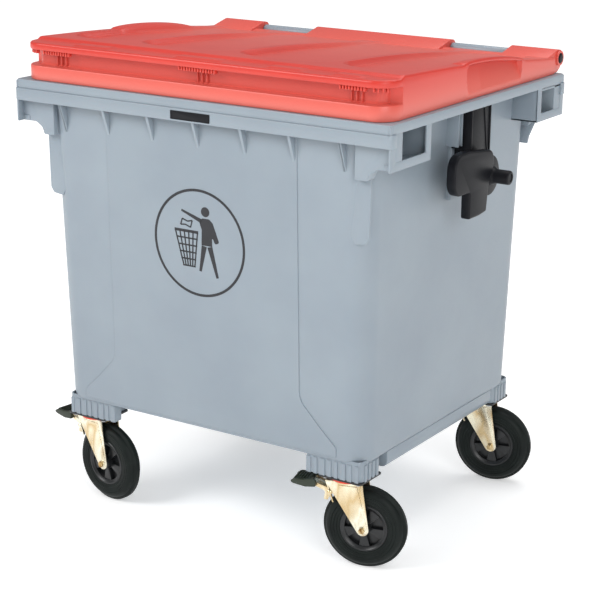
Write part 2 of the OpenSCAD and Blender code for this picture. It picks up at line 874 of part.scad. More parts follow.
axle(castor_rear_left);  // axle_rear_left
axle(castor_rear_right);  // axle_rear_right
hub(castor_front_left);  // hub_front_left
hub(castor_front_right);  // hub_front_right
hub(castor_rear_left);  // hub_rear_left
hub(castor_rear_right);  // hub_rear_right
tyre(castor_front_left);  // tyre_front_left
tyre(castor_front_right);  // tyre_front_right
tyre(castor_rear_left);  // tyre_rear_left
tyre(castor_rear_right);  // tyre_rear_right
brake_lever(castor_front_left);  // brake_lever_front_left
brake_lever(castor_front_right);  // brake_lever_front_right
brake_pedal(castor_front_left);  // brake_pedal_front_left
brake_pedal(castor_front_right);  // brake_pedal_front_right
brake_pin(castor_front_left);  // brake_pin_front_left
brake_pin(castor_front_right);  // brake_pin_front_right
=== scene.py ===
"""Looks of a four-wheeled refuse container: tub, hinged lid, lifting gear and swivel castors.

Sizes are in millimetres and in the container's own lines: X to the right, -Y to the front,
Z up from the ground, with Y counted from the middle of the rim. Solid.build() takes a
finished shape to the frame, in metres.
"""

import json
import logging
import math
from dataclasses import dataclass, field
from enum import Enum
from typing import Sequence

import bmesh
import bpy
from mathutils import Matrix, Vector


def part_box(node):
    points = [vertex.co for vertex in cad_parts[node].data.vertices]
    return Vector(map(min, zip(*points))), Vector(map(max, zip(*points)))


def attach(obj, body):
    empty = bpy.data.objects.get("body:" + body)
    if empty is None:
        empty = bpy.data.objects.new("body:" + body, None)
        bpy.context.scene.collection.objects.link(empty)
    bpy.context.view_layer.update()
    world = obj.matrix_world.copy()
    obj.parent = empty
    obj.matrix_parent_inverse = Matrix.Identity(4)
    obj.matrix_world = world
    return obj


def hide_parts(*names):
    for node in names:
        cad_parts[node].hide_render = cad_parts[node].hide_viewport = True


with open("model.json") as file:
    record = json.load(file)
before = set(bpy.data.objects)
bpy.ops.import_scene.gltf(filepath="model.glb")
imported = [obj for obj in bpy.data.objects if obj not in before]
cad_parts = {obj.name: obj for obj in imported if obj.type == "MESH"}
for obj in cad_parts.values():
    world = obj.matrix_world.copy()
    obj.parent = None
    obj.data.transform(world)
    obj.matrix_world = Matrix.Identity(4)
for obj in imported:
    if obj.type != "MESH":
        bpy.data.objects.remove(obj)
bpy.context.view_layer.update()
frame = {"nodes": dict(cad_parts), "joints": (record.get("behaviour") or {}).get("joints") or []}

LOG = logging.getLogger("refuse_container")
METRES = 0.001
SHARP = math.radians(25.0)
WELD = 1e-3
FULL_TURN = 2.0 * math.pi

RIM_HALF_X = 625.0
RIM_HALF_Y = 512.0
RIM_TOP = 1278.0
# The rim's front face says how far the frame's Y starts from the middle of the rim.
SHIFT = -(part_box("tub")[0].y / METRES + RIM_HALF_Y)

Point2 = tuple[float, float]


def smooth(low: float, high: float, value: float) -> float:
    """Returns a smooth step from 0 at low to 1 at high."""
    t = min(max((value - low) / (high - low), 0.0), 1.0)
    return t * t * (3.0 - 2.0 * t)


def mix(a: float, b: float, share: float) -> float:
    """Returns the value that lies the given share of the way from a to b."""
    return a + (b - a) * share


def joint_place(name: str) -> Vector:
    """Returns a joint's place in the container's own lines, in millimetres."""
    joint = next(j for j in frame["joints"] if j["name"] == name)
    return Vector(joint["pos_m"]) / METRES + Vector((0.0, SHIFT, 0.0))


# ---- outlines ----


class Plane(Enum):
    """The plane that an outline lies in; the third axis carries its thickness."""

    XY = (0, 1, 2)
    XZ = (0, 2, 1)
    YZ = (1, 2, 0)

    def point(self, u: float, v: float, w: float) -> Vector:
        """Returns the place of outline point (u, v) at depth w.

        Args:
            u: the first coordinate in the plane.
            v: the second coordinate in the plane.
            w: the depth across the plane.

        Returns:
            The point in space.
        """
        place = Vector((0.0, 0.0, 0.0))
        for axis, value in zip(self.value, (u, v, w)):
            place[axis] = value
        return place


def rounded(corners: Sequence[Point2], radii: float | Sequence[float], steps: int = 6) -> list[Point2]:
    """Rounds the corners of a closed outline with arcs.

    Args:
        corners: the outline's corners, in order.
        radii: one radius for all corners, or one for each.
        steps: straight pieces in each arc.

    Returns:
        The outline's points, with steps + 1 of them at each rounded corner.
    """
    outline: list[Point2] = []
    count = len(corners)
    for i, corner in enumerate(corners):
        radius = radii[i] if isinstance(radii, Sequence) else radii
        here = Vector(corner)
        back = Vector(corners[i - 1]) - here
        ahead = Vector(corners[(i + 1) % count]) - here
        if radius <= 0.0:
            outline.append((here.x, here.y))
            continue
        half = back.angle(ahead) / 2.0
        reach = min(radius / math.tan(half), 0.49 * min(back.length, ahead.length))
        radius = reach * math.tan(half)
        centre = here + (back.normalized() + ahead.normalized()).normalized() * (radius / math.sin(half))
        start = here + back.normalized() * reach - centre
        end = here + ahead.normalized() * reach - centre
        first = math.atan2(start.y, start.x)
        turn = math.atan2(end.y, end.x) - first
        turn = (turn + math.pi) % FULL_TURN - math.pi
        for k in range(steps + 1):
            angle = first + turn * k / steps
            outline.append((centre.x + radius * math.cos(angle), centre.y + radius * math.sin(angle)))
    return outline


def rectangle(half_u: float, half_v: float, radii: float | Sequence[float], centre: Point2 = (0.0, 0.0),
              steps: int = 6) -> list[Point2]:
    """Returns a rounded rectangle's outline; radii run front left, front right, rear right, rear left.

    Args:
        half_u: half its length along the first axis.
        half_v: half its length along the second axis.
        radii: one radius for all corners, or one for each.
        centre: its middle.
        steps: facets in each corner.

    Returns:
        The outline's points.
    """
    u, v = centre
    corners = [(u - half_u, v - half_v), (u + half_u, v - half_v), (u + half_u, v + half_v),
               (u - half_u, v + half_v)]
    return rounded(corners, radii, steps)


def circle(radius: float, centre: Point2 = (0.0, 0.0), steps: int = 48) -> list[Point2]:
    """Returns a circle's outline."""
    angles = [FULL_TURN * k / steps for k in range(steps)]
    return [(centre[0] + radius * math.cos(a), centre[1] + radius * math.sin(a)) for a in angles]


# ---- solids ----


@dataclass
class Solid:
    """One piece under construction: closed shapes that are gathered in a single mesh.

    Args:
        name: the piece's name.
        place: where its own lines stand in the container's lines.
    """

    name: str
    place: Matrix = field(default_factory=lambda: Matrix.Identity(4))
    mesh: bmesh.types.BMesh = field(default_factory=bmesh.new)

    def add(self, part: bmesh.types.BMesh, bevel: float = 0.0, segments: int = 2,
            tilt: Matrix | None = None) -> None:
        """Closes a part, rounds its sharp edges and joins it to the piece.

        Args:
            part: the part's own mesh, which is used up.
            bevel: radius of the rounded edges.
            segments: facets across each rounded edge.
            tilt: where the part stands in the piece.
        """
        bmesh.ops.remove_doubles(part, verts=part.verts, dist=WELD)
        bmesh.ops.recalc_face_normals(part, faces=part.faces)
        if bevel > 0.0:
            edges = [e for e in part.edges if e.is_manifold and e.calc_face_angle(0.0) > SHARP]
            bmesh.ops.bevel(part, geom=edges, offset=bevel, segments=segments, profile=0.5,
                            affect="EDGES", material=-1, clamp_overlap=True)
        if tilt is not None:
            part.transform(tilt)
        scratch = bpy.data.meshes.new("scratch")
        part.to_mesh(scratch)
        self.mesh.from_mesh(scratch)
        bpy.data.meshes.remove(scratch)
        part.free()

    def prism(self, outline: Sequence[Point2], plane: Plane, start: float, depth: float,
              bevel: float = 0.0, segments: int = 2, tilt: Matrix | None = None) -> None:
        """Gives an outline a thickness, from start over depth.

        Args:
            outline: the outline's points.
            plane: the plane that the outline lies in.
            start: where the thickness starts.
            depth: how thick it is.
            bevel: radius of the rounded edges.
            segments: facets across each rounded edge.
            tilt: where the part stands in the piece.
        """
        part = bmesh.new()
        face = part.faces.new([part.verts.new(plane.point(u, v, start)) for u, v in outline])
        grown = bmesh.ops.extrude_face_region(part, geom=[face])["geom"]
        moved = [g for g in grown if isinstance(g, bmesh.types.BMVert)]
        bmesh.ops.translate(part, vec=plane.point(0.0, 0.0, depth), verts=moved)
        self.add(part, bevel, segments, tilt)

    def block(self, low: Sequence[float], high: Sequence[float], bevel: float = 0.0,
              tilt: Matrix | None = None) -> None:
        """Adds a block between two corners.

        Args:
            low: the corner with the lowest coordinates.
            high: the corner with the highest coordinates.
            bevel: radius of the rounded edges.
            tilt: where the part stands in the piece.
        """
        part = bmesh.new()
        size = Vector(high) - Vector(low)
        middle = (Vector(high) + Vector(low)) / 2.0
        scale = Matrix.Diagonal((size.x, size.y, size.z, 1.0))
        bmesh.ops.create_cube(part, size=1.0, matrix=Matrix.Translation(middle) @ scale)
        self.add(part, bevel, 2, tilt)

    def loft(self, rings: Sequence[Sequence[Vector]], closed: bool = False, bevel: float = 0.0,
             tilt: Matrix | None = None) -> None:
        """Bridges a row of rings; a closed row is a ring-shaped solid, an open one gets end faces.

        Args:
            rings: the rings in order, each a row of points.
            closed: whether the last ring joins the first.
            bevel: radius of the rounded edges.
            tilt: where the part stands in the piece.
        """
        part = bmesh.new()
        loops = []
        for ring in rings:
            verts = [part.verts.new(p) for p in ring]
            loops.append([part.edges.new((verts[i - 1], verts[i])) for i in range(len(verts))])
        pairs = list(zip(loops, loops[1:]))
        if closed:
            pairs.append((loops[-1], loops[0]))
        for one, other in pairs:
            if len(one) == len(other):
                for a, b in zip(one, other):
                    part.faces.new((a.verts[0], a.verts[1], b.verts[1], b.verts[0]))
            else:
                bmesh.ops.bridge_loops(part, edges=one + other)
        if not closed:
            for end in (loops[0], loops[-1]):
                bmesh.ops.contextual_create(part, geom=end)
        self.add(part, bevel, 2, tilt)

    def window(self, outer: Sequence[Point2], inner: Sequence[Point2], plane: Plane, start: float,
               depth: float, bevel: float = 0.0, tilt: Matrix | None = None) -> None:
        """Adds a plate with an opening; both outlines have the same number of points.

        Args:
            outer: the plate's outline.
            inner: the opening's outline.
            plane: the plane that the outline lies in.
            start: where the thickness starts.
            depth: how thick it is.
            bevel: radius of the rounded edges.
            tilt: where the part stands in the piece.
        """
        levels = [(outer, start), (outer, start + depth), (inner, start + depth), (inner, start)]
        rings = [[plane.point(u, v, w) for u, v in outline] for outline, w in levels]
        self.loft(rings, closed=True, bevel=bevel, tilt=tilt)

    def lathe(self, profile: Sequence[Point2], centre: Sequence[float], axis: Sequence[float],
              steps: int = 64, ring: bool = False, bevel: float = 0.0) -> None:
        """Spins a profile of (radius, distance along the axis) points; a ring's profile is closed.

        Args:
            profile: the section's points, as radius and distance along the axis.
            centre: the point on the axis from which distances run.
            axis: the axis's direction.
            steps: facets all the way round.
            ring: whether the profile is a closed loop.
            bevel: radius of the rounded edges.
        """
        part = bmesh.new()
        along = Vector(axis).normalized()
        outwards = along.orthogonal().normalized()
        middle = Vector(centre)
        verts = [part.verts.new(middle + outwards * r + along * h) for r, h in profile]
        edges = [part.edges.new(pair) for pair in zip(verts, verts[1:])]
        if ring:
            edges.append(part.edges.new((verts[-1], verts[0])))
        bmesh.ops.spin(part, geom=verts + edges, cent=middle, axis=along, angle=FULL_TURN,
                       steps=steps, use_merge=True, use_duplicate=False)
        self.add(part, bevel)

    def build(self, finish: "Finish", body: str, slot: str,
              stands_for: Sequence[str] = ()) -> bpy.types.Object:
        """Takes the piece to the frame and dresses it.

        Args:
            finish: the finish that it wears.
            body: the body that it rides on.
            slot: the record's material slot; not used.
            stands_for: the CAD nodes that it replaces.

        Returns:
            The finished object, at the origin.
        """
        to_frame = Matrix.Scale(METRES, 4) @ Matrix.Translation((0.0, -SHIFT, 0.0)) @ self.place
        self.mesh.transform(to_frame)
        if to_frame.determinant() < 0.0:
            bmesh.ops.reverse_faces(self.mesh, faces=self.mesh.faces)
        data = bpy.data.meshes.new(self.name)
        self.mesh.to_mesh(data)
        self.mesh.free()
        data.shade_smooth()
        data.set_sharp_from_angle(angle=math.radians(32.0))
        data.materials.append(finish.material())
        piece = bpy.data.objects.new(self.name, data)
        bpy.context.scene.collection.objects.link(piece)
        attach(piece, body)
        if stands_for:
            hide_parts(*stands_for)
        LOG.info("%s: %d faces on %s", self.name, len(data.polygons), body)
        return piece


# ---- finishes ----


def linear(code: str) -> tuple[float, float, float, float]:
    """Turns an sRGB hex colour such as "#a9b4bf" to the linear colour that a shader takes.

    Args:
        code: the colour, as a hex code.

    Returns:
        Its red, green and blue, and an alpha of 1.
    """
    parts = [int(code[i:i + 2], 16) / 255.0 for i in (1, 3, 5)]
    low = [p / 12.92 if p <= 0.04045 else ((p + 0.055) / 1.055) ** 2.4 for p in parts]
    return (low[0], low[1], low[2], 1.0)


def add_node(tree: bpy.types.NodeTree, kind: str, settings: dict | None = None,
             inputs: dict | None = None) -> bpy.types.Node:
    """Adds a node, with its settings and its inputs.

    Args:
        tree: the material's node tree.
        kind: the node's type name.
        settings: attributes of the node.
        inputs: values by socket name or number; a socket as value is linked.

    Returns:
        The new node.
    """
    node = tree.nodes.new(kind)
    for key, value in (settings or {}).items():
        setattr(node, key, value)
    for key, value in (inputs or {}).items():
        if isinstance(value, bpy.types.NodeSocket):
            tree.links.new(value, node.inputs[key])
        else:
            node.inputs[key].default_value = value
    return node


@dataclass(frozen=True)
class Finish:
    """A surface: its colour that drifts slowly, its fine grain and its gloss.

    Args:
        name: the maker's name of the finish.
        colour: the main colour, as an sRGB hex code.
        drift: the colour that it drifts to.
        drift_mm: how far apart the drift's patches lie.
        roughness: the surface's roughness.
        rough_spread: how far the roughness wanders from that.
        grain_mm: size of the grain.
        grain_depth_mm: depth of the grain.
        metallic: 1 for a metal.
        ior: refractive index, for what isn't a metal.
        coat: strength of a clear top layer.
        softness: how much light passes just below the surface.
        shine: strength of the mirror reflection; 0.5 is the plain value.
        glow: light that the surface gives off by itself.
    """

    name: str
    colour: str
    drift: str
    drift_mm: float = 220.0
    roughness: float = 0.45
    rough_spread: float = 0.06
    grain_mm: float = 3.0
    grain_depth_mm: float = 0.05
    metallic: float = 0.0
    ior: float = 1.5
    coat: float = 0.0
    softness: float = 0.0
    shine: float = 0.5
    glow: float = 0.0

    def material(self) -> bpy.types.Material:
        """Returns the finish's material, which is made the first time.

        Returns:
            The material.
        """
        found = bpy.data.materials.get(self.name)
        if found is not None:
            return found
        made = bpy.data.materials.new(self.name)
        made.use_nodes = True
        tree = made.node_tree
        tree.nodes.clear()
        place = add_node(tree, "ShaderNodeTexCoord").outputs["Object"]
        self.shade(tree, place)
        return made

    def shade(self, tree: bpy.types.NodeTree, place: bpy.types.NodeSocket) -> None:
        """Builds the nodes of the finish.

        Args:
            tree: the material's node tree.
            place: the socket that gives the position.
        """
        patches = add_node(tree, "ShaderNodeTexNoise", None,
                           {"Vector": place, "Scale": 1000.0 / self.drift_mm, "Detail": 4.0,
                            "Roughness": 0.55})
        spread = add_node(tree, "ShaderNodeMapRange", None,
                          {"Value": patches.outputs["Fac"], "From Min": 0.35, "From Max": 0.65})
        colour = add_node(tree, "ShaderNodeMix", {"data_type": "RGBA"},
                          {0: spread.outputs["Result"], 6: linear(self.colour), 7: linear(self.drift)})
        grain = add_node(tree, "ShaderNodeTexNoise", None,
                         {"Vector": place, "Scale": 1000.0 / self.grain_mm, "Detail": 3.0, "Roughness": 0.6})
        gloss = add_node(tree, "ShaderNodeMapRange", None,
                         {"Value": grain.outputs["Fac"], "From Min": 0.3, "From Max": 0.7,
                          "To Min": self.roughness - self.rough_spread,
                          "To Max": self.roughness + self.rough_spread})
        bump = add_node(tree, "ShaderNodeBump", None,
                        {"Height": self.relief(tree, place, grain.outputs["Fac"]), "Strength": 1.0,
                         "Distance": self.grain_depth_mm * METRES})
        shader = add_node(tree, "ShaderNodeBsdfPrincipled", None,
                          {"Base Color": colour.outputs[2], "Roughness": gloss.outputs["Result"],
                           "Normal": bump.outputs["Normal"], "Metallic": self.metallic,
                           "Coat Weight": self.coat, "Coat Roughness": 0.2,
                           "Subsurface Weight": self.softness, "Subsurface Scale": 0.004,
                           "Specular IOR Level": self.shine,
                           "Emission Color": linear(self.colour), "Emission Strength": self.glow})
        if self.metallic < 0.5:
            shader.inputs["IOR"].default_value = self.ior
        add_node(tree, "ShaderNodeOutputMaterial", None, {"Surface": shader.outputs["BSDF"]})

    def relief(self, tree: bpy.types.NodeTree, place: bpy.types.NodeSocket,
               grain: bpy.types.NodeSocket) -> bpy.types.NodeSocket:
        """Returns the height that the bump follows; here it is the grain alone."""
        return grain


@dataclass(frozen=True)
class FloorFinish(Finish):
    """A pale floor that is evened out towards white away from the container.

    Args:
        near_mm: how far from the middle the evening-out starts.
        far_mm: how far from the middle it is complete.
        far_glow: the light that the floor gives off there.
    """

    near_mm: float = 1500.0
    far_mm: float = 5500.0
    far_glow: float = 0.75

    def shade(self, tree: bpy.types.NodeTree, place: bpy.types.NodeSocket) -> None:
        """Builds the finish's nodes, with a glow that grows with the distance.

        Args:
            tree: the material's node tree.
            place: the socket that gives the position.
        """
        super().shade(tree, place)
        shader = next(n for n in tree.nodes if n.bl_idname == "ShaderNodeBsdfPrincipled")
        away = add_node(tree, "ShaderNodeVectorMath", {"operation": "LENGTH"}, {0: place})
        glow = add_node(tree, "ShaderNodeMapRange", None,
                        {"Value": away.outputs["Value"], "From Min": self.near_mm * METRES,
                         "From Max": self.far_mm * METRES, "To Min": self.glow, "To Max": self.far_glow})
        tree.links.new(glow.outputs["Result"], shader.inputs["Emission Strength"])


@dataclass(frozen=True)
class LidFinishWithPaintedLight(Finish):
    """A thin moulding whose colour is painted paler low down: painted light that stands in for the light
    coming through its single skin.

    Args:
        pale: the painted light's colour low down, as an sRGB hex code.
        pale_z: the height below which the painted light is full.
        deep_z: the height above which there is no painted light, only the main colour.
    """

    pale: str = "#ffffff"
    pale_z: float = 0.0
    deep_z: float = 1.0

    def shade(self, tree: bpy.types.NodeTree, place: bpy.types.NodeSocket) -> None:
        """Builds the finish's nodes and paints the colour paler lower down, as painted light.

        Args:
            tree: the material's node tree.
            place: the socket that gives the position.
        """
        super().shade(tree, place)
        shader = next(n for n in tree.nodes if n.bl_idname == "ShaderNodeBsdfPrincipled")
        main = shader.inputs["Base Color"].links[0].from_socket
        parts = add_node(tree, "ShaderNodeSeparateXYZ", None, {"Vector": place})
        rise = add_node(tree, "ShaderNodeMapRange", None,
                        {"Value": parts.outputs["Z"], "From Min": self.pale_z * METRES,
                         "From Max": self.deep_z * METRES})
        # painted light: the colour is mixed towards the pale one below deep_z, and is fully pale below pale_z
        painted_light_blend = add_node(tree, "ShaderNodeMix", {"data_type": "RGBA"},
                        {0: rise.outputs["Result"], 6: linear(self.pale), 7: main})
        tree.links.new(painted_light_blend.outputs[2], shader.inputs["Base Color"])


@dataclass(frozen=True)
class PlatedFinish(Finish):
    """Passivated zinc on pressed steel: its colour runs from straw to pale green and brown.

    Args:
        tints: further colours that the passivated layer shows, as sRGB hex codes.
    """

    tints: tuple[str, ...] = ("#efe8cf", "#cdb488", "#eeead6", "#b09468")

    def shade(self, tree: bpy.types.NodeTree, place: bpy.types.NodeSocket) -> None:
        """Builds the finish with its run of tints.

        Args:
            tree: the material's node tree.
            place: the socket that gives the position.
        """
        super().shade(tree, place)
        shader = next(n for n in tree.nodes if n.type == "BSDF_PRINCIPLED")
        streaks = add_node(tree, "ShaderNodeMapping", None, {"Vector": place, "Scale": (1.0, 1.0, 0.35)})
        runs = add_node(tree, "ShaderNodeTexNoise", None,
                        {"Vector": streaks.outputs["Vector"], "Scale": 1000.0 / self.drift_mm, "Detail": 2.0,
                         "Distortion": 0.4})
        ramp = add_node(tree, "ShaderNodeValToRGB", None, {"Fac": runs.outputs["Fac"]})
        stops = ramp.color_ramp.elements
        stops[0].position, stops[0].color = 0.32, linear(self.tints[0])
        stops[1].position, stops[1].color = 0.68, linear(self.tints[-1])
        for k, tint in enumerate(self.tints[1:-1], start=1):
            stop = stops.new(mix(0.32, 0.68, k / (len(self.tints) - 1)))
            stop.color = linear(tint)
        tree.links.new(ramp.outputs["Color"], shader.inputs["Base Color"])


# High-density polyethylene, injection moulded: an even satin with a fine grain
TUB_PLASTIC = Finish("moulded_grey_polyethylene", "#8b969f", "#848f99", 320.0, 0.40, 0.05, 3.2, 0.03,
                     ior=1.54,
                     softness=0.04)
# The same plastic from a polished mould, so that it shines more; low down its colour is painted paler, which
# is painted light
LID_PLASTIC = LidFinishWithPaintedLight("moulded_coral_polyethylene", "#cc3a2f", "#c4342a", 260.0, 0.34, 0.03, 2.5, 0.006,
                        ior=1.50,
                     shine=0.4, pale="#d8685c", pale_z=1292.0, deep_z=1376.0)
# Glass-filled polyamide with a spark-eroded grain
BLACK_PLASTIC = Finish("moulded_black_polyamide", "#121317", "#18191d", 90.0, 0.40, 0.08, 2.2, 0.08, ior=1.53,
                       shine=0.14)
# Steel plate coloured near-black, a satin with a faint clear coat
BLACK_STEEL = Finish("near_black_plate_finish", "#131416", "#191a1c", 70.0, 0.36, 0.08, 2.5, 0.05, ior=1.5,
                     coat=0.2)
# The same passivation on a turned bolt head, browner
BOLT_ZINC = PlatedFinish("brown_passivated_bolt_zinc", "#b08a50", "#8f6f42", 12.0, 0.32, 0.08, 1.0, 0.02,
                         metallic=1.0, tints=("#c9a870", "#8c6a3c", "#d8c090", "#7a5a34"))
# Bright zinc plate: bluish white with a faint cloudy drift
BRIGHT_ZINC = Finish("bright_zinc_plate", "#c8ccd0", "#aeb3b8", 14.0, 0.28, 0.08, 1.2, 0.02, metallic=1.0)
# Yellow passivated zinc: straw with pale and brown runs
YELLOW_ZINC = PlatedFinish("yellow_passivated_zinc", "#efe0b0", "#d8bc80", 60.0, 0.27, 0.07, 2.0, 0.03,
                           metallic=1.0)
# Solid rubber: matt, with a fine bloom
TYRE_RUBBER = Finish("solid_black_rubber", "#121716", "#191f1d", 45.0, 0.50, 0.10, 1.8, 0.12, ior=1.52,
                     shine=0.14)
# Polypropylene hub: smooth and a little glossier than the tyre
HUB_PLASTIC = Finish("moulded_black_polypropylene", "#141618", "#1a1c1e", 60.0, 0.34, 0.06, 2.4, 0.05,
                     ior=1.49)
# Orange polyethylene dust ring
SEAL_PLASTIC = Finish("orange_dust_ring_polyethylene", "#f03a10", "#e03008", 30.0, 0.38, 0.06, 2.0, 0.04,
                      ior=1.52,
                      softness=0.05)
# Dark green-black pedal with a coarse grip grain
PEDAL_PLASTIC = Finish("dark_green_pedal_polyamide", "#1a2416", "#232d1d", 40.0, 0.45, 0.08, 2.5, 0.15,
                       ior=1.53)
# Screen print: a thin even ink
PRINT_INK = Finish("black_screen_print_ink", "#1a1b20", "#212227", 50.0, 0.5, 0.05, 1.5, 0.01, ior=1.5)
# Pale floor
FLOOR_PAINT = FloorFinish("pale_floor_paint", "#ffffff", "#fbfbfb", 900.0, 0.6, 0.02, 5.0, 0.01, shine=0.1,
                          glow=0.34)


# ---- tub ----


@dataclass
class Tub:
    """The moulded tub with its rim, pockets, castor housings and grip tubes."""

    floor_z: float = 322.0
    top_half: Point2 = (540.0, 478.0)
    lean: Point2 = (20.0, 30.0)
    wall: float = 5.0
    corner_radii: tuple[float, float, float, float] = (70.0, 70.0, 92.0, 92.0)
    rim_wall: float = 6.0
    upper_band: float = 26.0
    lower_band: float = 34.0
    band_step: float = 4.0
    gusset_pitch: float = 155.0
    gusset_count: int = 7
    panel_half: float = 320.0
    panel_rise: float = 3.0
    pocket_drop: float = 122.0

    def lean_share(self, z: float) -> float:
        """Returns 0 at the rim and 1 at the tub's bottom edge."""
        return (RIM_TOP - z) / (RIM_TOP - self.floor_z)

    def side(self, z: float) -> float:
        """Returns the side wall's X at a height."""
        return self.top_half[0] - self.lean[0] * self.lean_share(z)

    def front(self, z: float) -> float:
        """Returns the front wall's Y at a height."""
        return self.lean[1] * self.lean_share(z) - self.top_half[1]

    def ring(self, z: float, inset: float, lift: float = 0.0) -> list[Vector]:
        """Returns the wall's outline at a height, set in from its outer face.

        Args:
            z: the height.
            inset: how far in from the outer face.
            lift: how far the points are raised above that height.

        Returns:
            The outline's points.
        """
        radii = [max(r - inset, 4.0) for r in self.corner_radii]
        outline = rectangle(self.side(z) - inset, -self.front(z) - inset, radii, steps=12)
        return [Vector((x, y, z + lift)) for x, y in outline]

    def wall_tilt(self, z: float) -> Matrix:
        """Returns the place of a plane that leans with the front wall, through its face at a height."""
        angle = math.atan(self.lean[1] / (RIM_TOP - self.floor_z))
        return Matrix.Translation((0.0, self.front(z), z)) @ Matrix.Rotation(angle, 4, "X")

    def walls(self, piece: Solid) -> None:
        """Adds the four walls and the floor as one shell.

        Args:
            piece: the piece that it belongs to.
        """
        foot = self.floor_z
        outside = [self.ring(foot, 9.0), self.ring(foot, 4.0, 1.5), self.ring(foot, 1.0, 5.0)]
        outside += [self.ring(z, 0.0) for z in (foot + 11.0, 500.0, 740.0, 980.0, RIM_TOP - 3.0)]
        inside = [self.ring(z, self.wall) for z in (RIM_TOP - 3.0, 980.0, 740.0, 500.0, foot + 14.0)]
        inside += [self.ring(foot + 6.0, self.wall + 8.0)]
        piece.loft(outside + inside)

    def rim(self, piece: Solid) -> None:
        """Adds the rim's top face, its upper band all round and the deeper band at the ends.

        Args:
            piece: the piece that it belongs to.
        """
        half_x = RIM_HALF_X - self.band_step
        half_y = RIM_HALF_Y - self.band_step
        low = RIM_TOP - self.upper_band
        under = RIM_TOP - self.rim_wall
        wall_ring = [(v.x, v.y) for v in self.ring(RIM_TOP, 3.0)]
        outer = rectangle(half_x, half_y, 14.0, steps=12)
        inner = rectangle(half_x - self.rim_wall, half_y - self.rim_wall, 8.0, steps=12)
        rows = [(outer, low), (outer, RIM_TOP), (wall_ring, RIM_TOP), (wall_ring, under), (inner, under),
                (inner, low)]
        piece.loft([[Vector((x, y, z)) for x, y in row] for row, z in rows], closed=True, bevel=2.0)
        turn = 30.0
        thick = self.rim_wall + self.band_step - 2.0
        for end in (-1.0, 1.0):
            outline = [(-RIM_HALF_X, end * (RIM_HALF_Y - turn)), (-RIM_HALF_X, end * RIM_HALF_Y),
                       (RIM_HALF_X, end * RIM_HALF_Y), (RIM_HALF_X, end * (RIM_HALF_Y - turn)),
                       (RIM_HALF_X - thick, end * (RIM_HALF_Y - turn)),
                       (RIM_HALF_X - thick, end * (RIM_HALF_Y - thick)),
                       (-RIM_HALF_X + thick, end * (RIM_HALF_Y - thick)),
                       (-RIM_HALF_X + thick, end * (RIM_HALF_Y - turn))]
            shape = rounded(outline, (0.0, 14.0, 14.0, 0.0, 0.0, 7.0, 7.0, 0.0))
            piece.prism(shape, Plane.XY, low - self.lower_band, self.lower_band + 1.0, 2.0)

    def gussets(self, piece: Solid) -> None:
        """Adds the triangular gussets under the deeper band.

        Args:
            piece: the piece that it belongs to.
        """
        low = RIM_TOP - self.upper_band - self.lower_band
        out = -RIM_HALF_Y + self.band_step + 2.0
        foot = low - 82.0
        for end in (1.0, -1.0):
            outline = [(end * out, RIM_TOP - 4.0), (end * (self.front(low) + 3.0), RIM_TOP - 4.0),
                       (end * (self.front(foot) + 3.0), foot - 6.0), (end * self.front(foot), foot),
                       (end * (out + 4.0), low - 6.0), (end * out, low + 6.0)]
            shape = rounded(outline, (0.0, 0.0, 0.0, 4.0, 8.0, 3.0))
            for k in range(self.gusset_count):
                x = (k - (self.gusset_count - 1) / 2.0) * self.gusset_pitch
                piece.prism(shape, Plane.YZ, x - 4.5, 9.0, 1.8)
            for x in (self.top_half[0] - 74.0, 74.0 - self.top_half[0]):
                piece.prism(shape, Plane.YZ, x - 4.5, 9.0, 1.8)

    def panels(self, piece: Solid) -> None:
        """Adds the raised panel on the front and on the back, which widens at its foot.

        Args:
            piece: the piece that it belongs to.
        """
        half = self.panel_half
        foot = self.floor_z
        outline = [(-half, 918.0), (half, 918.0), (half, 158.0), (half + 64.0, 91.0), (half + 118.0, 40.0),
                   (half + 118.0, 12.0), (-half - 118.0, 12.0), (-half - 118.0, 40.0), (-half - 64.0, 91.0),
                   (-half, 158.0)]
        shape = rounded(outline, (4.0, 4.0, 60.0, 30.0, 14.0, 4.0, 4.0, 14.0, 30.0, 60.0))
        tilt = self.wall_tilt(foot)
        piece.prism(shape, Plane.XZ, -self.panel_rise, self.panel_rise + 2.0, 2.2, 3, tilt)
        piece.prism(shape, Plane.XZ, -self.panel_rise, self.panel_rise + 2.0, 2.2, 3,
                    Matrix.Rotation(math.pi, 4, "Z") @ tilt)

    def fins(self, piece: Solid) -> None:
        """Adds the fins that run down the corners below the pockets.

        Args:
            piece: the piece that it belongs to.
        """
        top = RIM_TOP - self.pocket_drop + 4.0
        foot = top - 215.0
        inner = self.top_half[0] - 66.0
        outline = [(inner, top), (self.side(top) + 5.0, top), (self.side(foot) + 5.0, foot + 20.0),
                   (self.side(foot) - 6.0, foot + 4.0), (inner + 20.0, foot), (inner, foot + 30.0)]
        front_shape = rounded(outline, (0.0, 3.0, 8.0, 6.0, 6.0, 0.0))
        heel = top - 96.0
        outline = [(inner, top), (self.side(top) + 24.0, top), (self.side(top) + 16.0, top - 26.0),
                   (self.side(heel) - 2.0, heel + 22.0), (self.side(heel) - 6.0, heel), (inner, heel)]
        rear_shape = rounded(outline, (0.0, 3.0, 16.0, 24.0, 4.0, 0.0))
        for side in (-1.0, 1.0):
            for shape, y in ((front_shape, self.front(foot) + 2.0), (rear_shape, -self.front(heel) - 6.0)):
                piece.prism([(side * x, z) for x, z in shape], Plane.XZ, y, 6.0, 1.8)

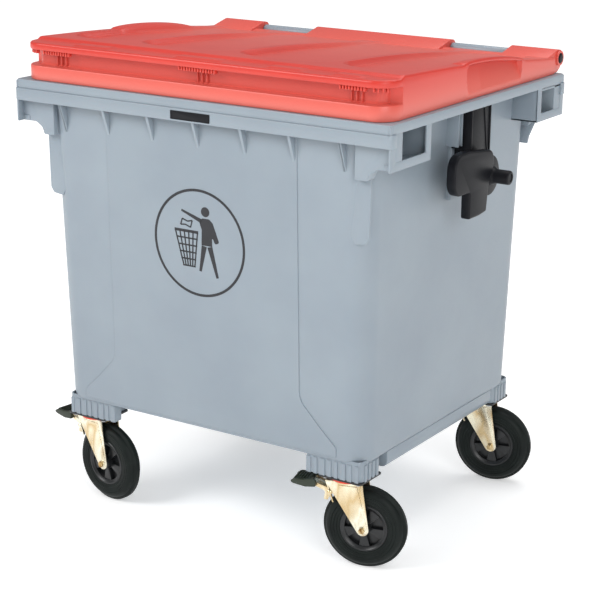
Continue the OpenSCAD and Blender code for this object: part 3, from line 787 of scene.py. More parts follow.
    def pocket(self, piece: Solid, side: float, end: float, length: float, bar: bool) -> None:
        """Adds one corner pocket under the rim.

        Args:
            piece: the piece that it belongs to.
            side: -1 for the left, 1 for the right.
            end: -1 for the front, 1 for the back.
            length: the pocket's length along the side.
            bar: whether a thin bar crosses its window near the top.
        """
        outer_x = RIM_HALF_X - self.band_step - 0.8
        corner_y = RIM_HALF_Y - self.band_step - 0.8
        foot = RIM_TOP - self.pocket_drop
        inner_x = self.side(foot) - 3.0
        near, far = corner_y, corner_y - length
        mid_y, half_y = (near + far) / 2.0, length / 2.0
        mid_z, half_z = (foot + RIM_TOP - 3.0) / 2.0, (RIM_TOP - 3.0 - foot) / 2.0
        frame_out = rectangle(half_y, half_z, 3.0, (end * mid_y, mid_z))
        hole_low, hole_high = foot + 24.0, RIM_TOP - 12.0
        frame_in = rectangle(half_y - 25.0, (hole_high - hole_low) / 2.0, 5.0,
                             (end * mid_y, (hole_high + hole_low) / 2.0))
        start = min(side * outer_x, side * (outer_x - 6.0))
        piece.window(frame_out, frame_in, Plane.YZ, start, 6.0, 1.6)
        x_low, x_high = sorted((side * inner_x, side * (outer_x - 1.0)))

        def span(a: float, b: float) -> tuple[float, float]:
            """Returns a stretch from front to back in rising order, whichever end the pocket is at."""
            return (min(end * a, end * b), max(end * a, end * b))

        floor_y = span(far, near - 24.0)
        piece.block((x_low, floor_y[0], foot), (x_high, floor_y[1], foot + 6.0), 1.5)
        wall_y = span(far, far + 6.0)
        piece.block((x_low, wall_y[0], foot), (x_high, wall_y[1], RIM_TOP - 3.0), 1.5)
        if bar:
            bar_y = span(far + 20.0, near - 20.0)
            x0, x1 = sorted((side * (outer_x - 7.0), side * (outer_x - 1.0)))
            piece.block((x0, bar_y[0], RIM_TOP - 34.0), (x1, bar_y[1], RIM_TOP - 27.0), 1.5)
        sill_y = span(far + 4.0, near - 20.0)
        sill_x = sorted((side * (outer_x - 30.0), side * (outer_x - 2.0)))
        piece.block((sill_x[0], sill_y[0], foot + 2.0), (sill_x[1], sill_y[1], foot + 16.0), 2.0)
        web = [(side * (inner_x - 32.0), RIM_TOP - 4.0), (side * (outer_x - 1.0), RIM_TOP - 4.0),
               (side * (outer_x - 1.0), foot), (side * (inner_x + 34.0), foot),
               (side * (inner_x + 12.0), foot - 14.0), (side * (inner_x + 5.0), foot - 34.0),
               (side * (inner_x - 32.0), foot - 34.0)]
        web_y = span(near - 62.0, near - 22.0)
        piece.prism(rounded(web, (0.0, 0.0, 4.0, 18.0, 22.0, 6.0, 0.0)), Plane.XZ, web_y[0], 40.0, 1.6)

    def housing(self, piece: Solid, swivel: Vector) -> None:
        """Adds the ribbed housing above one castor.

        Args:
            piece: the piece that it belongs to.
            swivel: where the castor's swivel axis stands.
        """
        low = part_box("castor_plate_front_right")[1].z / METRES
        side = math.copysign(1.0, swivel.x)
        end = math.copysign(1.0, swivel.y)
        length, width, radius = 132.0, 110.0, 20.0
        mid_x = swivel.x + side * (68.0 - length / 2.0)
        outer = rectangle(length / 2.0, width / 2.0, radius, (mid_x, swivel.y))
        inner = rectangle(length / 2.0 - self.wall, width / 2.0 - self.wall, radius - self.wall,
                          (mid_x, swivel.y))
        piece.window(outer, inner, Plane.XY, low, self.floor_z - low + 8.0, 1.8)
        tail = rectangle(34.0, 16.0, 6.0, (swivel.x - side * 74.0, swivel.y + end * (width / 2.0 - 16.0)))
        piece.prism(tail, Plane.XY, low + 0.4, self.floor_z - low + 7.0, 1.8)
        top = self.floor_z - 3.0
        for k in range(8):
            along = 54.0 - k * 22.0
            past = max(along - 48.0, 0.0)
            face = swivel.y + end * (width / 2.0 + 2.8 - past ** 2 / (1.6 * radius))
            y0, y1 = sorted((face, face - end * 16.0))
            half = 6.0 + 1.6 * (k % 3)
            x = swivel.x + side * along
            piece.block((x - half, y0, low - 0.6), (x + half, y1, top), 2.0)
        for k in range(4):
            y = swivel.y + (k - 1.5) * 20.0
            x0, x1 = sorted((swivel.x + side * 71.0, swivel.x + side * 60.0))
            piece.block((x0, y - 6.6, low - 1.0), (x1, y + 6.6, top), 2.0)
        for dx in (-52.5, 52.5):
            for dy in (-40.0, 40.0):
                piece.lathe([(5.2, 0.0), (11.0, 0.0), (11.0, self.floor_z - low), (5.2, self.floor_z - low)],
                            (swivel.x + dx, swivel.y + dy, low), (0.0, 0.0, 1.0), 24, ring=True)

    def rail(self, piece: Solid, side: float) -> None:
        """Adds the rounded rail along the bottom edge of one side.

        Args:
            piece: the piece that it belongs to.
            side: -1 for the left, 1 for the right.
        """
        out = self.side(self.floor_z) - 1.0
        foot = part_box("castor_plate_front_right")[1].z / METRES + 6.0
        outline = [(side * (out - 46.0), self.floor_z + 3.0), (side * out, self.floor_z + 3.0),
                   (side * out, foot), (side * (out - 46.0), foot)]
        piece.prism(rounded(outline, (0.0, 0.0, 20.0, 5.0), 8), Plane.XZ, -311.0, 622.0, 2.0)

    def lifting_pads(self, piece: Solid, side: float) -> None:
        """Adds the flat pad behind the lifting gear and the hollow stiffener beside its arm.

        Args:
            piece: the piece that it belongs to.
            side: -1 for the left, 1 for the right.
        """
        pin = LIFTING_PIN
        x_in = self.side(900.0) - 8.0
        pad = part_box("trunnion_right")[0].x / METRES - 0.3
        x0, x1 = sorted((side * x_in, side * pad))
        piece.block((x0, -45.0, pin.z - 66.0), (x1, 105.0, RIM_TOP - 5.0), 3.0)
        edge_x = sorted((side * x_in, side * 576.0))
        for y in (-63.0, -44.0):
            piece.block((edge_x[0], y, pin.z + 90.0), (edge_x[1], y + 6.0, RIM_TOP - 5.0), 1.5)
        web_x = sorted((side * x_in, side * 570.0))
        piece.block((web_x[0], -60.0, pin.z + 92.0), (web_x[1], -42.0, RIM_TOP - 5.0), 1.0)

    def grips(self, piece: Solid, hinge: Vector) -> None:
        """Adds the two grip tubes with their feet and the slots under them.

        Args:
            piece: the piece that it belongs to.
            hinge: where the hinge's axis stands.
        """
        for side in (-1.0, 1.0):
            x0, x1 = sorted((side * 246.0, side * 444.0))
            profile = [(6.2, 0.0), (16.0, 0.0), (16.0, x1 - x0), (6.2, x1 - x0)]
            piece.lathe(profile, (x0, hinge.y, hinge.z), (1.0, 0.0, 0.0), 40, ring=True, bevel=1.2)
            outline = [(hinge.y - 27.0, RIM_TOP - 2.0), (hinge.y - 24.0, hinge.z - 8.0),
                       (hinge.y - 8.0, hinge.z + 13.0), (hinge.y + 13.0, hinge.z - 6.0),
                       (hinge.y + 5.0, RIM_TOP - 2.0)]
            shape = rounded(outline, (0.0, 14.0, 8.0, 8.0, 0.0))
            for x in (x0 + 1.0, x1 - 37.0):
                piece.prism(shape, Plane.YZ, x, 12.0, 1.5)
                piece.prism(shape, Plane.YZ, x + 24.0, 12.0, 1.5)
                piece.block((x + 6.0, hinge.y - 22.0, RIM_TOP - 2.0), (x + 30.0, hinge.y - 14.0, hinge.z),
                            1.0)

    def build(self) -> None:
        """Builds the tub and hands it to the frame."""
        piece = Solid("tub_moulding")
        self.walls(piece)
        self.rim(piece)
        self.gussets(piece)
        self.panels(piece)
        self.fins(piece)
        for side in (-1.0, 1.0):
            self.pocket(piece, side, -1.0, 210.0, False)
            self.pocket(piece, side, 1.0, 172.0, True)
            self.rail(piece, side)
            self.lifting_pads(piece, side)
        for place in ("front_left", "front_right", "rear_left", "rear_right"):
            self.housing(piece, joint_place(f"swivel_{place}"))
        self.grips(piece, joint_place("lid_hinge"))
        piece.build(TUB_PLASTIC, "container", "tub_plastic", ["tub"])

    def sign(self) -> None:
        """Builds the printed sign: a ring round a plain figure that drops paper in a basket."""
        height = RIM_TOP - 403.0
        piece = Solid("printed_sign", self.wall_tilt(height) @ Matrix.Translation((-4.0, 0.0, 0.0)))
        face, ink = -self.panel_rise - 0.5, 0.6
        piece.lathe([(146.5, 0.0), (154.0, 0.0), (154.0, ink), (146.5, ink)], (0.0, face, 0.0),
                    (0.0, 1.0, 0.0),
                    96, ring=True)

        def bar(a: Point2, b: Point2, width: float, narrow: float | None = None) -> None:
            """Prints a straight line from a to b, which may narrow towards b.

            Args:
                a: where the line starts.
                b: where it ends.
                width: its width where it starts.
                narrow: its width where it ends, if that differs.
            """
            run = (Vector(b) - Vector(a)).normalized() / 2.0
            off = Vector((-run.y, run.x))
            last = width if narrow is None else narrow
            ends = [Vector(a) - off * width, Vector(b) - off * last, Vector(b) + off * last,
                    Vector(a) + off * width]
            piece.prism([(p.x, p.y) for p in ends], Plane.XZ, face, ink)

        top, foot = (-43.0, 30.0, 38.0), (-36.0, -70.0, 19.0)
        for k in range(6):
            share = k / 5.0
            bar((top[0] + mix(-top[2], top[2], share), top[1]),
                (foot[0] + mix(-foot[2], foot[2], share), foot[1]),
                4.2)
        for k in range(6):
            share = k / 5.0
            middle, z, half = (mix(a, b, share) for a, b in zip(top, foot))
            bar((middle - half - 2.5, z), (middle + half + 2.5, z), 8.0 if k == 0 else 4.2)
        paper = [(-62.0, 46.0), (-56.0, 64.0), (-38.0, 58.0), (-22.0, 62.0), (-28.0, 42.0), (-46.0, 48.0)]
        for start, end in zip(paper, paper[1:] + paper[:1]):
            bar(start, end, 4.0)
        piece.prism(circle(14.0, (23.0, 92.0), 32), Plane.XZ, face, ink)
        coat = [(2.0, 62.0), (12.0, 73.0), (36.0, 73.0), (48.0, 62.0), (68.0, 10.0), (54.0, 4.0),
                (44.0, 26.0),
                (44.0, -4.0), (8.0, -4.0), (10.0, 40.0)]
        piece.prism(rounded(coat, (6.0, 6.0, 6.0, 6.0, 5.0, 5.0, 2.0, 1.0, 1.0, 4.0)), Plane.XZ, face, ink)
        bar((10.0, 64.0), (-58.0, 88.0), 12.0, 6.0)
        bar((17.0, -6.0), (2.0, -80.0), 17.0, 8.0)
        bar((36.0, -6.0), (60.0, -92.0), 17.0, 8.0)
        piece.build(PRINT_INK, "container", "black_plastic")

    def nameplate(self) -> None:
        """Builds the blank nameplate with a raised border."""
        low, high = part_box("badge")
        x0, x1 = low.x / METRES, high.x / METRES
        z0, z1 = low.z / METRES, high.z / METRES
        mid = ((x0 + x1) / 2.0, (z0 + z1) / 2.0)
        piece = Solid("blank_nameplate")
        outer = rectangle((x1 - x0) / 2.0, (z1 - z0) / 2.0, 2.0, mid)
        inner = rectangle((x1 - x0) / 2.0 - 2.5, (z1 - z0) / 2.0 - 2.5, 1.0, mid)
        y = -RIM_HALF_Y
        piece.prism(outer, Plane.XZ, y - 1.0, 1.2, 0.3)
        piece.window(outer, inner, Plane.XZ, y - 1.6, 1.0, 0.3)
        piece.build(BLACK_PLASTIC, "container", "black_plastic", ["badge"])


LIFTING_PIN = Vector((685.0, 45.0, RIM_TOP - 224.0))


# ---- lid ----


@dataclass
class Lid:
    """The lid: a sunk top with ridges, a finger channel round the front and scooped sides."""

    half_x: float = 605.0
    front_y: float = -496.0
    back_y: float = 472.0
    corner: float = 60.0
    seat_z: float = RIM_TOP + 0.4
    channel_low: float = RIM_TOP + 43.0
    channel_high: float = RIM_TOP + 86.0
    channel_depth: float = 32.0
    lip_z: float = RIM_TOP + 106.0
    crest_z: float = RIM_TOP + 113.0
    fall: float = 0.071
    edge: float = 6.0
    skin: float = 5.0
    bay_depth: float = 13.0
    ridges: tuple[float, float, float] = (-338.0, 0.0, 335.0)
    scoop_from: float = -75.0
    scoop_to: float = 248.0
    scoop_depth: float = 17.0

    def half_at(self, y: float, inset: float) -> float:
        """Returns the lid's half width at a place from front to back.

        Args:
            y: the place from front to back.
            inset: how far in from the lid's edge.

        Returns:
            The half width.
        """
        radius = self.corner - inset
        depth = y - (self.front_y + inset)
        if depth >= radius:
            return self.half_x - inset
        reach = max(radius - depth, 0.0)
        return self.half_x - inset - radius + math.sqrt(max(radius * radius - reach * reach, 0.0))

    def inward(self, x: float, y: float) -> Vector:
        """Returns the direction from a point on the lid's edge towards its inside.

        Args:
            x: the place from left to right.
            y: the place from front to back.

        Returns:
            The direction, of length 1.
        """
        centre = Vector((math.copysign(self.half_x - self.corner, x), self.front_y + self.corner))
        if y < centre.y and abs(x) > abs(centre.x):
            return (centre - Vector((x, y))).normalized()
        if y <= self.front_y + self.edge + 0.5:
            return Vector((0.0, 1.0))
        if y >= self.back_y - self.edge - 0.5 and abs(x) < self.half_x - self.edge - 0.5:
            return Vector((0.0, -1.0))
        return Vector((-math.copysign(1.0, x), 0.0))

    def plane_z(self, y: float) -> float:
        """Returns the height of the top's main slope, which is slightly domed.

        Args:
            y: the place from front to back.

        Returns:
            The height.
        """
        start = self.front_y + 82.0
        run = max(y - start, 0.0)
        share = run / (self.back_y - start)
        return self.crest_z - self.fall * run + 9.0 * math.sin(math.pi * min(share * 1.1, 1.0))

    def top_z(self, x: float, y: float) -> float:
        """Returns the height of the lid's top.

        Args:
            x: the place from left to right.
            y: the place from front to back.

        Returns:
            The height.
        """
        depth = y - self.front_y
        step = smooth(64.0, 80.0, depth)
        z = mix(self.lip_z, self.plane_z(y), step)
        z -= self.bay_depth * self.bay(x, y)
        z += self.pads(x, depth)
        z += 13.0 * self.arch(y) * smooth(536.0, 590.0, abs(x))
        return z

    def pads(self, x: float, depth: float) -> float:
        """Returns the height of the low pads along the lip's top.

        Args:
            x: the place from left to right.
            depth: how far back from the lip's front.

        Returns:
            The pads' height.
        """
        height = 0.0
        for low, high in ((-430.0, -305.0), (-75.0, 75.0), (225.0, 330.0), (430.0, 520.0)):
            across = smooth(low - 6.0, low + 6.0, x) * (1.0 - smooth(high - 6.0, high + 6.0, x))
            height += 4.0 * across * smooth(14.0, 22.0, depth) * (1.0 - smooth(54.0, 62.0, depth))
        return height

    def bay(self, x: float, y: float) -> float:
        """Returns 1 inside a sunk bay and 0 outside, with soft edges and round corners.

        Args:
            x: the place from left to right.
            y: the place from front to back.

        Returns:
            The share of the bay, from 0 to 1.
        """
        bounds = [-578.0, *self.ridges, 578.0]
        deepest = 0.0
        for left, right in zip(bounds, bounds[1:]):
            half_u = (right - left) / 2.0 - (17.0 if abs(left) < 570.0 and abs(right) < 570.0 else 14.0)
            u = abs(x - (left + right) / 2.0) - half_u
            front, back = -352.0, 448.0
            v = abs(y - (front + back) / 2.0) - (back - front) / 2.0
            radius = 86.0
            distance = (math.hypot(max(u + radius, 0.0), max(v + radius, 0.0))
                        + min(max(u, v) + radius, 0.0) - radius)
            deepest = max(deepest, 1.0 - smooth(-15.0, 3.0, distance))
        return deepest * (1.0 - 0.65 * smooth(120.0, 440.0, y))

    def arch(self, y: float) -> float:
        """Returns the rise of the top's side edge above the scooped hand recess.

        Args:
            y: the place from front to back.

        Returns:
            The rise.
        """
        middle = (self.scoop_from + self.scoop_to) / 2.0
        reach = (self.scoop_to - self.scoop_from) / 2.0 + 22.0
        share = (y - middle) / reach
        return math.sqrt(max(1.0 - share * share, 0.0)) if abs(share) < 1.0 else 0.0

    def channel(self, y: float) -> float:
        """Returns how fully the finger channel is cut at a place from front to back."""
        return 1.0 - smooth(self.front_y + 60.0, self.front_y + 72.0, y)

    def scoop(self, y: float) -> float:
        """Returns how fully the side's scoop is cut at a place from front to back."""
        return smooth(self.scoop_from - 3.0, self.scoop_from + 3.0, y) * (
            1.0 - smooth(self.scoop_to - 3.0, self.scoop_to + 3.0, y))

    def edge_profile(self, x: float, y: float, top: float) -> list[Point2]:
        """Returns the edge's section at a place on the outline.

        Args:
            x: the place from left to right.
            y: the place from front to back.
            top: the top's height there.

        Returns:
            Points of (distance inside the outline, height), from the top down and round to the
            underside.
        """
        front = y < self.back_y - 30.0
        cut = self.channel(y) if front else 0.0
        scoop = self.scoop(y) if abs(x) > self.half_x - 30.0 else 0.0
        deep_high = self.channel_depth * cut + self.scoop_depth * scoop
        deep_low = self.channel_depth * cut + 1.0 * scoop
        high = mix(mix(self.channel_high, top - 10.0, scoop), min(self.channel_high, top - 12.0), 1.0 - scoop)
        low = mix(min(self.channel_low, top - 26.0), RIM_TOP + 20.0, scoop)
        high = max(high, low + 4.0)
        fillet_high = 4.0 * min(deep_high / 8.0, 1.0)
        fillet_low = 4.0 * min(deep_low / 8.0, 1.0)
        e = self.edge
        points = [(e * (1.0 - math.sin(a)), top - e + e * math.cos(a))
                  for a in (math.radians(30.0), math.radians(60.0), math.radians(90.0))]
        points += [(0.0, high + fillet_high * 0.8), (fillet_high * 0.3, high + fillet_high * 0.2),
                   (fillet_high, high), (deep_high - fillet_high, high), (deep_high, high - fillet_high),
                   (deep_low, low + fillet_low), (deep_low - fillet_low, low), (fillet_low, low - 1.0),
                   (fillet_low * 0.3, low - 1.0 - fillet_low * 0.3), (0.0, low - 1.0 - fillet_low),
                   (0.0, self.seat_z + 3.0), (1.0, self.seat_z + 0.8), (3.0, self.seat_z),
                   (self.skin + 1.0, self.seat_z), (self.skin + 1.0, low - 8.0),
                   (deep_low + self.skin, low - 6.0),
                   (max(deep_high, deep_low) + self.skin + 2.0, self.plane_z(y) - 17.0)]
        return points

    def shell(self, piece: Solid) -> None:
        """Adds the lid's shell: its top from a grid, its edge from rows of extruded sections.

        Args:
            piece: the piece that it belongs to.
        """
        part = bmesh.new()
        columns, arc_rows, rows = 200, 9, 160
        bmesh.ops.create_grid(part, x_segments=columns, y_segments=arc_rows + rows, size=0.5)
        start = self.front_y + self.edge
        radius = self.corner - self.edge
        for vert in part.verts:
            share = (vert.co.y + 0.5) * (arc_rows + rows)
            if share <= arc_rows:
                y = start + radius * (1.0 - math.cos(math.pi / 2.0 * share / arc_rows))
            else:
                y = mix(start + radius, self.back_y - self.edge, (share - arc_rows) / rows)
            x = 2.0 * vert.co.x * self.half_at(y, self.edge)
            vert.co = Vector((x, y, self.top_z(x, y)))
        edges = [e for e in part.edges if e.is_boundary]
        sections: dict[bmesh.types.BMVert, list[Vector]] = {}
        for vert in {v for e in edges for v in e.verts}:
            inward = self.inward(vert.co.x, vert.co.y)
            if abs(vert.co.x) > self.half_x - self.edge - 0.5 and vert.co.y > self.back_y - self.edge - 0.5:
                inward = Vector((-math.copysign(1.0, vert.co.x), -1.0))
            rim = Vector((vert.co.x, vert.co.y)) - inward * self.edge
            profile = self.edge_profile(rim.x, rim.y, vert.co.z)
            sections[vert] = [Vector((rim.x + inward.x * d, rim.y + inward.y * d, z)) for d, z in profile]
        for row in range(len(next(iter(sections.values())))):
            grown = bmesh.ops.extrude_edge_only(part, edges=edges)["geom"]
            new = {g for g in grown if isinstance(g, bmesh.types.BMVert)}
            following = {}
            for vert in new:
                source = next(e.other_vert(vert) for e in vert.link_edges if e.other_vert(vert) in sections)
                following[vert] = sections[source]
            for vert, section in following.items():
                vert.co = section[row]
            edges = [g for g in grown if isinstance(g, bmesh.types.BMEdge) and all(v in new for v in g.verts)]
            sections = following
        bmesh.ops.contextual_create(part, geom=edges)
        piece.add(part)

    def teeth(self, piece: Solid) -> None:
        """Adds the comb of small ribs under the lip, and the ribs on the channel's wall.

        Args:
            piece: the piece that it belongs to.
        """
        face = self.front_y + 5.0
        for low, high in ((-530.0, -425.0), (-54.0, 80.0), (455.0, 540.0)):
            count = int((high - low) / 9.0)
            for k in range(count):
                x = low + 9.0 * k
                piece.block((x, face, self.channel_high - 11.0),
                            (x + 4.5, face + 14.0, self.channel_high + 2.0), 0.8)
            middle = (low + high) / 2.0 - 20.0
            for k in range(3):
                x = middle + 16.0 * k
                piece.block((x, self.front_y + self.channel_depth - 7.0, self.channel_low - 1.0),
                            (x + 4.0, self.front_y + self.channel_depth + 3.0, self.channel_high + 1.0), 1.2)
        centre = Vector((self.half_x - self.corner, self.front_y + self.corner))
        for side in (-1.0, 1.0):
            for k in range(4):
                angle = math.radians(-78.0 + 13.0 * k)
                tilt = (Matrix.Translation((side * centre.x, centre.y, 0.0))
                        @ Matrix.Rotation(side * angle if side > 0 else math.pi - angle, 4, "Z"))
                piece.block((self.corner - 18.0, -2.2, self.channel_high - 11.0),
                            (self.corner - 5.0, 2.2, self.channel_high + 2.0), 0.8, tilt)

    def sleeves(self, piece: Solid, hinge: Vector) -> None:
        """Adds the three hinge sleeves at the back, with the skirt under the outer two.

        Args:
            piece: the piece that it belongs to.
            hinge: where the hinge's axis stands.
        """
        r = 25.0
        crown = [(self.back_y - 62.0, self.plane_z(self.back_y - 62.0) - 6.0),
                 (hinge.y - 4.0, hinge.z + r + 1.0),
                 (hinge.y + r, hinge.z + r - 4.0), (hinge.y + r, hinge.z - 10.0)]
        outer = crown + [(hinge.y + 12.0, hinge.z - 30.0), (hinge.y - 6.0, RIM_TOP + 2.5),
                         (self.back_y - 62.0, RIM_TOP + 2.5)]
        middle = crown + [(hinge.y + 6.0, hinge.z - r), (hinge.y - 18.0, hinge.z - r + 3.0),
                          (self.back_y - 62.0, hinge.z - 14.0)]
        outer = rounded(outer, (0.0, 24.0, 22.0, 16.0, 12.0, 8.0, 0.0), 8)
        middle = rounded(middle, (0.0, 24.0, 22.0, 20.0, 18.0, 10.0, 0.0), 8)
        piece.prism(middle, Plane.YZ, -243.0, 486.0, 2.0, 3)
        for side in (-1.0, 1.0):
            start = min(side * 447.0, side * 600.5)
            piece.prism(outer, Plane.YZ, start, 153.5, 2.0, 3)
            collar = [(15.5, 0.0), (22.0, 0.0), (22.0, 7.0), (15.5, 7.0)]
            piece.lathe(collar, (side * 600.0, hinge.y, hinge.z), (side, 0.0, 0.0), 40, ring=True, bevel=1.2)

    def build(self) -> None:
        """Builds the lid and hands it to the frame."""
        hinge = joint_place("lid_hinge")
        piece = Solid("lid_moulding")
        self.shell(piece)
        self.teeth(piece)
        self.sleeves(piece, hinge)
        piece.build(LID_PLASTIC, "lid", "lid_plastic", ["lid"])
        for side, name in ((-1.0, "left"), (1.0, "right")):
            cap = Solid(f"rod_end_cap_{name}")
            profile = [(0.0, 8.5), (10.0, 8.5), (12.5, 8.0), (15.0, 6.0), (15.0, 0.3), (0.0, 0.3)]
            cap.lathe(profile, (side * 601.0, hinge.y, hinge.z), (side, 0.0, 0.0), 40)
            cap.build(BLACK_PLASTIC, "container", "black_plastic", [f"rod_cap_{name}"])


# ---- lifting gear ----


@dataclass
class LiftingGear:
    """The black arm, boss, block and pin on one side."""

    side: float
    name: str
    boss_radius: float = 58.0
    pin_radius: float = 20.0
    block_from: float = 612.0
    block_to: float = 640.0

    def build(self) -> None:
        """Builds the arm and the trunnion."""
        self.arm()
        self.trunnion()

    def mirror(self) -> Matrix:
        """Returns the place of pieces that are drawn for the right side."""
        return Matrix.Diagonal((self.side, 1.0, 1.0, 1.0))

    def arm(self) -> None:
        """Builds the channel arm under the rim."""
        low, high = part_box("lifting_arm_right")
        x0, x1 = low.x / METRES, high.x / METRES
        y0, y1 = low.y / METRES + SHIFT, high.y / METRES + SHIFT
        z0, z1 = low.z / METRES, high.z / METRES
        piece = Solid(f"channel_arm_{self.name}", self.mirror())
        piece.block((x0, y0, z0), (x1, y0 + 7.0, z1), 2.0)
        piece.block((x0, y1 - 7.0, z0), (x1, y1, z1), 2.0)
        piece.block((x1 - 9.0, y0 + 3.0, z0), (x1 - 3.0, y1 - 3.0, z1), 1.0)
        crease = [(y1 - 42.0, z1 - 30.0), (y1 - 38.0, z1 - 30.0), (y1 - 12.0, z0 + 2.0),
                  (y1 - 18.0, z0 + 2.0)]
        piece.prism(crease, Plane.YZ, x1 - 4.0, 3.0, 1.0)
        piece.block((x0 + 2.0, y0 - 22.0, z0 + 26.0), (x0 + 26.0, y0 + 2.0, z0 + 34.0), 1.5)
        piece.build(BLACK_PLASTIC, "container", "black_plastic", [f"lifting_arm_{self.name}"])

    def trunnion(self) -> None:
        """Builds the boss, the block with its tab, and the pin."""
        pin = LIFTING_PIN
        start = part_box("trunnion_right")[0].x / METRES
        piece = Solid(f"lifting_trunnion_{self.name}", self.mirror())
        face = self.block_from + 10.0
        boss = [(0.0, start), (self.boss_radius - 3.0, start), (self.boss_radius, start + 3.0),
                (self.boss_radius, face - 5.0), (self.boss_radius - 1.5, face - 1.5),
                (self.boss_radius - 5.0, face), (0.0, face)]
        piece.lathe(boss, (0.0, pin.y, pin.z), (1.0, 0.0, 0.0), 64)
        root = self.block_to
        shaft = [(0.0, face - 4.0), (self.pin_radius + 12.0, face - 4.0), (self.pin_radius + 9.0, face + 3.0),
                 (self.pin_radius + 5.0, root - 8.0), (self.pin_radius + 1.5, root - 2.0),
                 (self.pin_radius, root + 3.0), (self.pin_radius, pin.x - 4.0),
                 (self.pin_radius - 1.2, pin.x - 1.2),
                 (self.pin_radius - 4.0, pin.x), (self.pin_radius - 8.0, pin.x),
                 (self.pin_radius - 8.5, pin.x - 2.0),
                 (0.0, pin.x - 2.0)]
        piece.lathe(shaft, (0.0, pin.y, pin.z), (1.0, 0.0, 0.0), 48)
        block = [(-174.0, -20.0), (-196.0, 6.0), (-192.0, 92.0), (-120.0, 95.0), (24.0, 78.0), (34.0, 40.0),
                 (6.0, -12.0), (-5.0, -90.0), (-46.0, -95.0), (-106.0, -95.0), (-106.0, -20.0)]
        radii = (34.0, 40.0, 54.0, 0.0, 26.0, 22.0, 12.0, 8.0, 0.0, 6.0, 6.0)
        outline = rounded([(y, pin.z + z) for y, z in block], radii, 8)
        thick = self.block_to - self.block_from
        piece.prism(outline, Plane.YZ, self.block_from, thick, 5.0, 3)
        piece.build(BLACK_PLASTIC, "container", "black_plastic", [f"trunnion_{self.name}"])


# ---- castors ----


